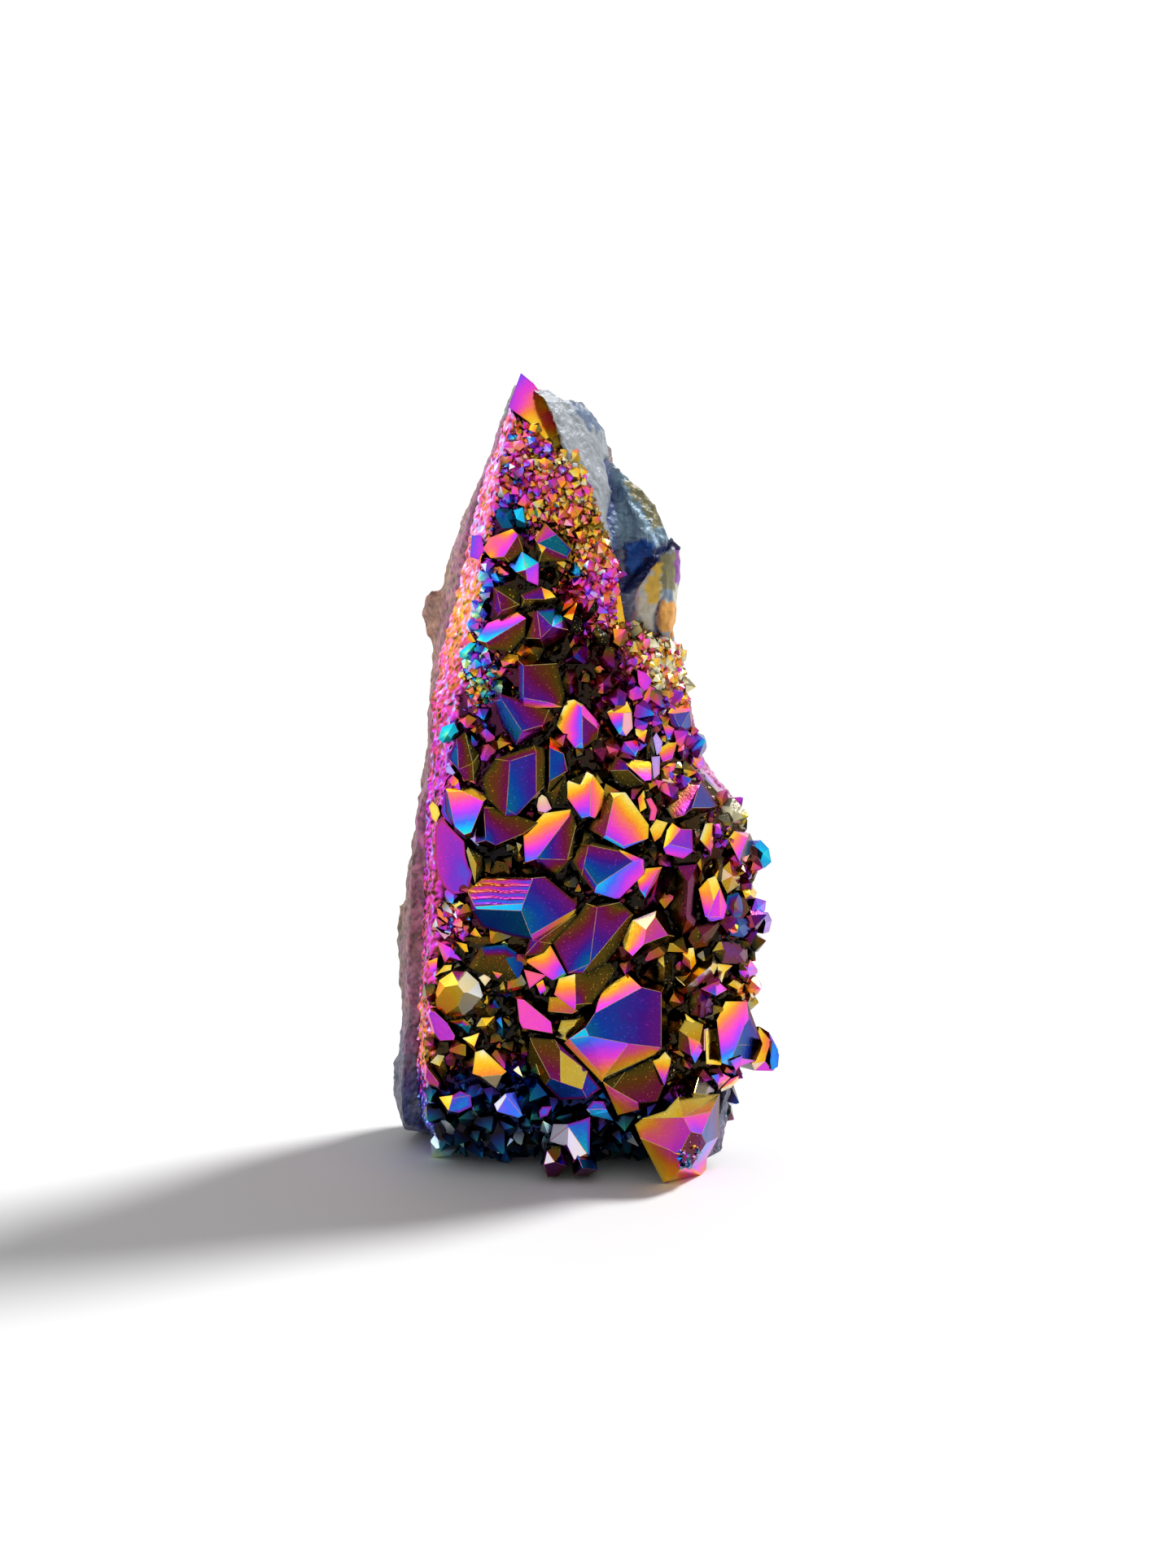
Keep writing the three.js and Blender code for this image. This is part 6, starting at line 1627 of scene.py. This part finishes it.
# %% [markdown]
# ## The coated finish
#
# One material dresses every crystal. It reads film, painted light and painted shade, adds a little cloudiness
# to the film so that no facet is a clean gradient, and looks the colour up in the lit or the shaded ramp. It
# is a metal film, so the shader is metallic. Fine noise paints sparkle on it as painted glints, painted light
# above bright fades to a painted white glare, and the painted shade mixes in a near-black painted crevice
# shade.

# %% Film ramps
# film colours of a facet painted as lit
PAINTED_LIGHT_RAMP = [
    (0.0, (1.0, 0.9, 0.55)), (0.07, (1.0, 0.76, 0.12)), (0.16, (0.98, 0.55, 0.02)),
    (0.27, (0.98, 0.26, 0.04)), (0.38, (0.96, 0.12, 0.26)), (0.5, (0.82, 0.05, 0.68)),
    (0.61, (0.36, 0.06, 0.92)), (0.72, (0.05, 0.16, 0.95)), (0.83, (0.01, 0.5, 0.85)),
    (0.92, (0.03, 0.7, 0.6)), (1.0, (0.5, 0.82, 0.2)),
]
# film colours of a facet painted as shaded: painted shade
PAINTED_SHADE_RAMP = [
    (0.0, (0.004, 0.004, 0.003)), (0.07, (0.022, 0.018, 0.004)), (0.14, (0.075, 0.048, 0.006)),
    (0.24, (0.11, 0.03, 0.008)), (0.37, (0.13, 0.008, 0.04)), (0.5, (0.12, 0.008, 0.15)),
    (0.6, (0.045, 0.01, 0.22)), (0.72, (0.006, 0.04, 0.3)), (0.86, (0.004, 0.1, 0.22)),
    (1.0, (0.01, 0.14, 0.11)),
]
# painted glare, for painted light above bright
WHITE_GLARE = (0.8, 0.84, 0.92, 1)
# painted shade at the bottom of crevices
PAINTED_CREVICE_SHADE = (0.01, 0.009, 0.012, 1)
print("stops in the two ramps:", len(PAINTED_LIGHT_RAMP), len(PAINTED_SHADE_RAMP))


# %% Shader helpers
def math_node(tree, operation, first, second):
    return new_node(tree, "ShaderNodeMath", {0: first, 1: second}, operation=operation).outputs[0]


def swing(tree, value, middle, strength):
    """How far a value lies from its middle, times strength."""
    return math_node(tree, "MULTIPLY", math_node(tree, "SUBTRACT", value, middle), strength)


def mix_colour(tree, share, first, second):
    node = new_node(tree, "ShaderNodeMix", {0: share, 6: first, 7: second}, data_type="RGBA")
    node.clamp_factor = True
    return node.outputs[2]


def noise_node(tree, scale, detail):
    place = new_node(tree, "ShaderNodeTexCoord").outputs["Object"]
    sizes = {"Vector": place, "Scale": scale, "Detail": detail}
    return new_node(tree, "ShaderNodeTexNoise", sizes).outputs["Fac"]


def bump_node(tree, height, strength, distance):
    sizes = {"Height": height, "Strength": strength, "Distance": distance}
    return new_node(tree, "ShaderNodeBump", sizes).outputs[0]


def read_attribute(tree, key, output="Fac"):
    return new_node(tree, "ShaderNodeAttribute", attribute_name=key).outputs[output]


print("shader helpers ready")


# %% Coated finish
def coated_quartz():
    material, tree, shader = new_finish("coated_quartz")
    film, tone, deep = (read_attribute(tree, key) for key in ("film", "tone", "deep"))
    cloud = noise_node(tree, 260, 3)
    speck = swing(tree, noise_node(tree, 2600, 2), 0.5, 0.1)
    uneven = math_node(tree, "ADD", swing(tree, cloud, 0.5, 0.14), speck)
    thickness = math_node(tree, "ADD", film, uneven)
    # painted sparkle: fine noise raises the painted light in small spots, as painted glints
    painted_sparkle = range_node(tree, noise_node(tree, 3000, 1), 0.66, 0.74, 0, 0.38)
    lit = math_node(tree, "ADD", tone, painted_sparkle)
    colour = mix_colour(tree, lit, ramp_node(tree, thickness, PAINTED_SHADE_RAMP), ramp_node(tree, thickness, PAINTED_LIGHT_RAMP))
    # painted glare: painted light above 1.15 fades to white
    colour = mix_colour(tree, swing(tree, tone, 1.15, 0.9), colour, WHITE_GLARE)
    # painted shade mixes the colour towards the near-black crevice colour
    feed(tree, shader, {
        "Base Color": mix_colour(tree, deep, colour, PAINTED_CREVICE_SHADE), "Metallic": 1.0,
        "Roughness": range_node(tree, cloud, 0, 1, 0.07, 0.27),
        "Normal": bump_node(tree, noise_node(tree, 1500, 3), 0.25, 0.00012),
    })
    return material


coated = coated_quartz()
for piece in (crystals, plates, points):
    piece.data.materials.append(coated)
print("coated finish has", len(coated.node_tree.nodes), "nodes")

# %% Crops of small crystals
# spacing, smallest and largest size in mm, lean, seed, where they grow, seed of their tints
CROPS = {
    "medium_crystals": (3.2, 1.4, 2.5, 0.5, 4, "grow", 0),
    "layer_flakes": (1.15, 0.75, 1.5, 0.75, 23, "flakes", 3),
    "foot_crystals": (2.9, 1.7, 2.9, 0.6, 31, "foot", 4),
    "small_crystals": (1.5, 0.5, 1.1, 0.7, 9, "chips", 1),
    "crystal_chips": (1.0, 0.25, 0.55, 1.2, 15, "chips", 2),
}

crops = {}
for name, (spacing, smallest, largest, lean, seed, where, tint_seed) in CROPS.items():
    crops[name] = grow_crop(
        name, coated, Spacing=spacing * MM, Smallest=smallest * MM, Largest=largest * MM,
        Lean=lean, Seed=seed, Where=where,
    )
    tint_crop(crops[name], tint_seed, FLAKE_LIFT if name == "layer_flakes" else 0.0)
    print(name, len(crops[name].data.polygons), "facets")

# %% [markdown]
# ## The broken left face and the gold strip
#
# The layer was broken off on the left, so that face shows its growth lines in streaks of pink, magenta and
# gold. Its film comes from a short list of what lies at each height. Where the layer runs thin against the
# bare rock it is a smooth strip of gold, and everywhere else it is ground between the crystals, painted dark
# as painted shade, least where it is flaky.

# %% Film on the layer
# height, film and its spread, tone of the broken left face
TORN_FACE = [
    (0, 0.7, 0.16, 0.6), (14, 0.68, 0.2, 0.8), (20, 0.26, 0.25, 0.6), (30, 0.3, 0.25, 0.55),
    (38, 0.42, 0.2, 0.35), (50, 0.42, 0.14, 0.3), (60, 0.45, 0.16, 0.25), (78, 0.48, 0.18, 0.45),
    (90, 0.42, 0.22, 0.7), (100, 0.36, 0.24, 0.8), (108, 0.26, 0.22, 0.9), (116, 0.4, 0.25, 0.9),
    (150, 0.46, 0.22, 0.9),
]
TORN_WIDTH = 1.6  # how far the broken face reaches in from the layer's left edge
TORN_DEPTH = 3
STRIP_FILM, STRIP_TONE = 0.22, 1.0


def torn_finish(x, y, z):
    level, spread, bright = between(TORN_FACE, z)
    streak = noise.noise(Vector((x * 1.3, y * 1.3, z * 0.25)))
    speck = noise.noise(Vector((x, y, z)) * 1.7)
    film = level + spread * (1.6 * streak + 1.4 * speck)
    return film, bright + 0.3 + 1.5 * speck + 0.9 * streak, clamp(-2.6 * speck - 0.3, 0, 0.85)


def strip_finish(x, y, z):
    streak = noise.noise(Vector((x * 2.2, y * 0.6, z * 0.3)))
    return STRIP_FILM + 0.2 * streak, STRIP_TONE + 0.5 * streak, 0.0


# painted shade: the ground between the crystals is painted dark, least where it is flaky
def ground_finish(x, z, film, tone):
    flaky = flake_share(x, z)
    return film - 0.05, tone * (0.3 + 0.4 * flaky), 0.85 - 0.5 * flaky


def tint_layer(mesh):
    spots = read_values(mesh.vertices, "co", 3) / MM
    zone_film, _, zone_tone = zone_values(spots[:, 0], spots[:, 2])
    values = []
    for number, (x, y, z) in enumerate(spots):
        if x < between(WALL, z)[0] + TORN_WIDTH or y > bed_depth(x, z) + TORN_DEPTH:
            values.append(torn_finish(x, y, z))
        elif in_outline(*drawn_place(Vector((x, y, z))), GOLD_STRIP):
            values.append(strip_finish(x, y, z))
        else:
            values.append(ground_finish(x, z, zone_film[number], zone_tone[number]))
    film, tone, deep = zip(*values)
    store(mesh, "POINT", film=film, deep=deep, tone=tone)
    mesh.materials.append(coated)


tint_layer(layer.data)
print("layer tinted")

# %% [markdown]
# ## The wall rock
#
# The rock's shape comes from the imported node: its mesh is copied, merged, remeshed into even small faces and
# then roughened with noise. The bare blocks at the top right stay smoother than the rind, and clefts part
# them.

# %% Wall rock
EVEN_FACE = 0.62


def rock_from_node():
    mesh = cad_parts["wall_rock"].data.copy()
    made = put_in_scene("geode_wall", mesh)
    shape = bmesh.new()
    shape.from_mesh(mesh)
    bmesh.ops.remove_doubles(shape, verts=shape.verts, dist=1e-6)
    shape.to_mesh(mesh)
    shape.free()
    remesh = made.modifiers.new("even", "REMESH")
    remesh.mode = "VOXEL"
    remesh.voxel_size = EVEN_FACE * MM
    made.modifiers.new("soften", "SMOOTH").iterations = 6
    settle(made)
    made.data.name = "geode_wall"
    made.data.materials.clear()
    return made


rock = rock_from_node()
print("rock faces:", len(rock.data.polygons))

# %% [markdown]
# ## What colour the rock is where
#
# The rind changes with height: lilac at the top, tan and ochre in the middle, blue-grey at the foot, and it is
# darker low down, partly its own colour and partly painted shade. The bare stone has patches of its own:
# ivory, slate blue, gold and peach, and a deep blue hollow that is partly its blue coat and partly painted
# shade. Each patch is an outline with a colour, and noise moves its border so that no edge is drawn with a
# ruler. The clefts between the bare blocks are painted dark blue, as painted shade.

# %% Rock colours
# height and colour of the rind, darker below 60 mm: partly its own colour, partly painted shade at the foot
RIND = [
    (0, 0.15, 0.16, 0.25), (20, 0.18, 0.18, 0.27), (29, 0.22, 0.18, 0.15), (45, 0.32, 0.18, 0.08),
    (60, 0.24, 0.14, 0.08), (80, 0.38, 0.2, 0.12), (100, 0.5, 0.25, 0.15), (112, 0.52, 0.3, 0.25),
    (122, 0.52, 0.32, 0.28), (150, 0.48, 0.34, 0.34),
]
RIND_WANDER = 12  # how far the borders between the rind's colours rise and fall
RIND_COAT = (0.62, 0.13, 0.42)
COATED_RIND = 5.5  # how far the pink film strays from the layer over the rind
COATED_FROM = 20
RIND_BLUSH = (0.55, 0.2, 0.42, 1)
PALE_STONE = (0.3, 0.33, 0.36)
# painted shade in the clefts between the bare blocks
PAINTED_CLEFT_SHADE = (0.012, 0.03, 0.16)
# the sixth and seventh rows, the near-black and deep blue of the hollow, are partly the stone's blue coat and
# partly painted shade
# outline | colour | how far its border wanders
STONE_ROWS = """
-15 146, -11 151, -8 147.5, -6.5 143.5, -5 137, -3 131, 2 122, 0 120, -5 134, -9 141 | 0.36 0.31 0.2 | 1.0
-4 149, 1.5 146, 3.4 142, 0.5 142.6, -2.4 145.4 | 0.1 0.15 0.25 | 1.8
3.5 121, 4.6 136, 9 137, 15 128, 16 121.5, 11 121 | 0.2 0.32 0.42 | 1.4
7.5 135, 14 131, 15 125, 12.6 124.4, 10.2 128.6, 7 131.4 | 0.24 0.22 0.11 | 1.8
7.6 119.4, 8 122.8, 13 122.8, 13.4 120.6, 10 118.6 | 0.34 0.5 0.66 | 0.8
6.6 112.4, 6.4 121.4, 8.4 121.6, 11 120.4, 14.6 122, 15.4 120.2, 11 116.2, 7.9 112.2 | 0.01 0.02 0.12 | 0.6
7.4 116.4, 7.6 121.6, 10.4 122.4, 12.2 121, 10.8 118.2, 8.8 116.2 | 0.015 0.13 0.52 | 1.2
7.9 112, 11 115.7, 13.3 117.9, 16.2 119.8, 17.4 121, 17.6 104, 9 104.6 | 0.58 0.56 0.46 | 0.3
6.4 105.4, 6.6 112, 9 112.4, 9 105.4 | 0.42 0.54 0.7 | 0.8
13.2 112, 13.4 118.6, 16.2 119.8, 16 112 | 0.22 0.2 0.09 | 0.8
11.4 115, 11.6 117.6, 13.3 117.9, 13.4 115.2 | 0.75 0.46 0.04 | 0.8
10.4 109.6, 10.6 114.6, 13 115, 13.1 110 | 0.75 0.46 0.06 | 1.0
15.9 113.6, 16 120.4, 16.9 121, 16.9 113.4 | 0.26 0.04 0.36 | 0.3
16.8 112.6, 16.9 121.4, 18.4 121.4, 18.4 112.6 | 0.85 0.42 0.24 | 0.2
13.6 110.2, 13.6 112.1, 15.6 112.1, 15.6 110.2 | 0.2 0.27 0.36 | 0.4
12.6 104, 12.6 110, 17.2 110, 17.4 104 | 0.78 0.36 0.06 | 0.8
"""
STONE_PATCHES = [
    (read_corners(outline), *read_corners(colour), float(loose))
    for outline, colour, loose in read_rows(STONE_ROWS)
]
print("patches on the bare stone:", len(STONE_PATCHES))

# %% Rock relief
# x and drawn height of the rock's outline against the sky
SKYLINE = [
    (-16, 152.6), (-12.5, 152.6), (-7.9, 150.3), (-4, 148.1), (-1.2, 148.1), (1.3, 145), (2.8, 143.2),
    (3.5, 140.3), (3.9, 137.8), (5.5, 136), (8, 133.5), (10.1, 131.6), (12.2, 129.1), (13.6, 125.9),
    (14.8, 122.4), (17, 121.2), (17.6, 119.4), (18.4, 108),
]
# clefts between the blocks: points | half width | depth
CLEFTS = """
3.6 137, 5 131, 4.4 125, 5.6 119, 6.4 112, 6.6 105 | 0.7 | 1.3
7.3 112.4, 9.5 115.5, 13 119.6, 17 121.8 | 0.7 | 1.6
13.4 110, 12.4 107.5, 12.2 104, 12.8 102, 13.2 99.5 | 0.45 | 1.1
2 122, -2 130, -6 138 | 0.4 | 0.3
"""
BARE_FROM, BARE_TO, BARE_LIMIT = 97, 145, -16  # heights of the bare area, and its left limit above them
CLEFTS_FROM, CLEFTS_RIGHT_OF = 98, -8
ROUGH_BLOCK = read_corners("4 120, 15.5 136")  # two corners of the part that is broken most roughly
# height and how far the rind swells out on the left
LEFT_SWELL = [(0, 1.6), (10, 2.6), (25, 1.6), (38, 2.2), (55, 2.4), (70, 0.8), (80, 0)]


def bare_share(x, z):
    """How far a point of the rock lies in the smooth bare area, from 0 to 1."""
    if z < BARE_FROM:
        return 0.0
    limit = between(BARE_EDGE, z)[0] if z < BARE_TO else BARE_LIMIT
    return clamp((x - limit + 2) / 3)


def cleft_edges(points):
    line = np.array(read_corners(points))
    return edges_between(line[:-1], line[1:])


cleft_lines = [(cleft_edges(line), float(wide), float(deep)) for line, wide, deep in read_rows(CLEFTS)]


def cleft_share(x, z):
    """Depth of the nearest cleft at a drawn place, and how strongly the cleft's painted shade is painted
    there.
    """
    depth, dark = 0.0, 0.0
    for edges, half_width, deepest in cleft_lines:
        share = math.exp(-((edge_distance(x, z, edges) / half_width) ** 2))
        depth = max(depth, deepest * share)
        dark = max(dark, share)
    return depth, dark


print("depth and darkness on a cleft:", cleft_share(3.6, 137))

# %% Colour at one place on the rock
ROCK_FRONT = 4  # what lies in front of this depth is seen as the rock's front
noise.seed_set(1)  # noise_vector starts from the clock unless it is given a seed


def stone_colour_and_shade(co, x, z):
    colour = np.array(PALE_STONE) * (1 + 0.1 * noise.noise(co * 0.25))
    wobble = noise.noise_vector(co * 0.8)
    for outline, own, loose in STONE_PATCHES:
        if in_outline(x + loose * wobble.x, z + loose * wobble.z, outline):
            colour = np.array(own)
    return colour


def rind_colour(co):
    colour = np.array(between(RIND, co.z + RIND_WANDER * noise.noise(co * 0.09)))
    near_layer = between(WALL, co.z)[0] - co.x
    if co.y < ROCK_FRONT and near_layer < COATED_RIND and co.z > COATED_FROM:
        coat = clamp(1.1 - near_layer / COATED_RIND + 1.2 * noise.noise(co * 1.1), 0, 0.85)
        coat = coat * (0.5 if co.z < 60 else 1)
        colour = colour * (1 - coat) + np.array(RIND_COAT) * coat
    return colour


def rock_colour(co, dark):
    x, z = drawn_place(co)
    bare = co.y < ROCK_FRONT and bare_share(x, z) > 0.5
    colour = stone_colour_and_shade(co, x, z) if bare else rind_colour(co)
    uneven = 0.12 if bare else 0.5
    grain_and_pit_shade = noise.noise(Vector((co.x * 1.6, co.y * 1.6, co.z * 0.35)))
    grey = 0.9 + uneven * (noise.noise(co * 0.5) + 0.7 * noise.noise(co * 1.7) + 0.5 * grain_and_pit_shade)
    # dark paints the cleft's painted shade over the colour
    return colour * max(grey, 0.15) * (1 - dark) + np.array(PAINTED_CLEFT_SHADE) * dark


print("rind at 60 mm:", [round(float(value), 2) for value in rock_colour(Vector((-33, 0, 60)), 0)])

# %% Roughening the rock
TIP_FROM = 146  # above this height the rock's thin tip is pressed down, behind the coated one
TIP_PRESS = 0.55
PUSH = 0.8
BEHIND_TIP = 2.5  # how far the rock steps back behind the plate at the tip
TIP_OUTLINE = PLATES[0][0]


def under_skyline(vert):
    """Lowers a corner of the rock that stands above the skyline. Returns its place in mm."""
    place = vert.co / MM
    x, z = drawn_place(place)
    over = z - between(SKYLINE, x)[0]
    if x < SKYLINE[-1][0] and over > 0:
        vert.co.z -= (over + 0.4 + 0.8 * noise.noise(place * 0.4)) * MM
    return vert.co / MM


def shift_sides(vert, place):
    """Moves the rock back behind the plate at the tip, and out at the left foot."""
    x, z = drawn_place(place)
    if in_outline(x, z, TIP_OUTLINE):
        vert.co.y += BEHIND_TIP * MM
    vert.co.x -= between(LEFT_SWELL, place.z)[0] * clamp((-18 - x) / 12) * MM


def relief(co, x, z, share, cleft):
    """How far the surface is pushed out: rough on the rind, blocky on the bare stone."""
    bump = 0.8 * noise.noise(co * 0.16) + 0.5 * noise.noise(co * 0.5) + 0.28 * noise.noise(co * 1.3)
    block = 0.6 * noise.noise(co * 0.2 + Vector((5, 5, 5))) + 0.25 * noise.noise(co * 0.8)
    (x0, z0), (x1, z1) = ROUGH_BLOCK
    if x0 < x < x1 and z0 < z < z1:
        block += 0.9 * abs(noise.noise(co * 0.45)) + 0.3 * noise.noise(co * 1.2)
    return (bump * (1 - share) + block * share) - 0.35 - cleft * share


def roughen(mesh):
    bare, colours = [], []
    normals = [vert.normal.copy() for vert in mesh.vertices]
    for vert, normal in zip(mesh.vertices, normals):
        place = under_skyline(vert)
        shift_sides(vert, place)
        x, z = drawn_place(place)
        front = place.y < ROCK_FRONT
        share = bare_share(x, z) if front else 0.3 * bare_share(x, z)
        near_clefts = front and z > CLEFTS_FROM and x > CLEFTS_RIGHT_OF
        cleft, dark = cleft_share(x, z) if near_clefts else (0.0, 0.0)
        # the clefts in the bare stone are painted with painted shade
        colours.append((*rock_colour(place, 0.9 * dark * share), 1.0))
        bare.append(share)
        if place.z > 0.8:
            vert.co += normal * relief(place, x, z, share, cleft) * MM * PUSH
        if place.z > TIP_FROM:
            vert.co.z -= TIP_PRESS * (place.z - TIP_FROM) * MM
        vert.co.z = max(vert.co.z, 0)
    store(mesh, "POINT", bare=bare)
    painted = mesh.attributes.new("stone_colour_and_shade", "FLOAT_COLOR", "POINT")
    painted.data.foreach_set("color", np.array(colours).ravel())


roughen(rock.data)
print("rock roughened and painted")


# %% Rock finish
def geode_rind():
    material, tree, shader = new_finish("geode_rind")
    fine = noise_node(tree, 900, 4)
    painted = read_attribute(tree, "stone_colour_and_shade", "Color")
    # painted shade and light that follow the bump: the colour is darker in its pits and lighter on its rises
    painted_pit_shade = range_node(tree, fine, 0.35, 0.6, 0.45, 1.2)
    grain_and_pit_shade = new_node(tree, "ShaderNodeVectorMath", {0: painted, "Scale": painted_pit_shade}, operation="SCALE").outputs[0]
    rind = mix_colour(tree, swing(tree, noise_node(tree, 120, 3), 0.56, 1.4), grain_and_pit_shade, RIND_BLUSH)
    smooth_stone = mix_colour(tree, 0.25, painted, grain_and_pit_shade)
    feed(tree, shader, {
        "Base Color": mix_colour(tree, read_attribute(tree, "bare"), rind, smooth_stone), "Metallic": 0.1,
        "Roughness": 0.48, "Normal": bump_node(tree, fine, 0.6, 0.0004),
    })
    return material


rock.data.materials.append(geode_rind())
print("rock finished")

# %% [markdown]
# ## Handing over
#
# Each piece rides on the only body and takes the place of its node, and the two nodes
# that the pieces replace are hidden.

# %% Hand over
in_order = ("medium_crystals", "foot_crystals", "small_crystals", "crystal_chips", "layer_flakes")
for piece in (layer, crystals, plates, points, *(crops[name] for name in in_order)):
    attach(piece, "root")
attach(rock, "root")
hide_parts("crystal_druse")
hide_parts("wall_rock")
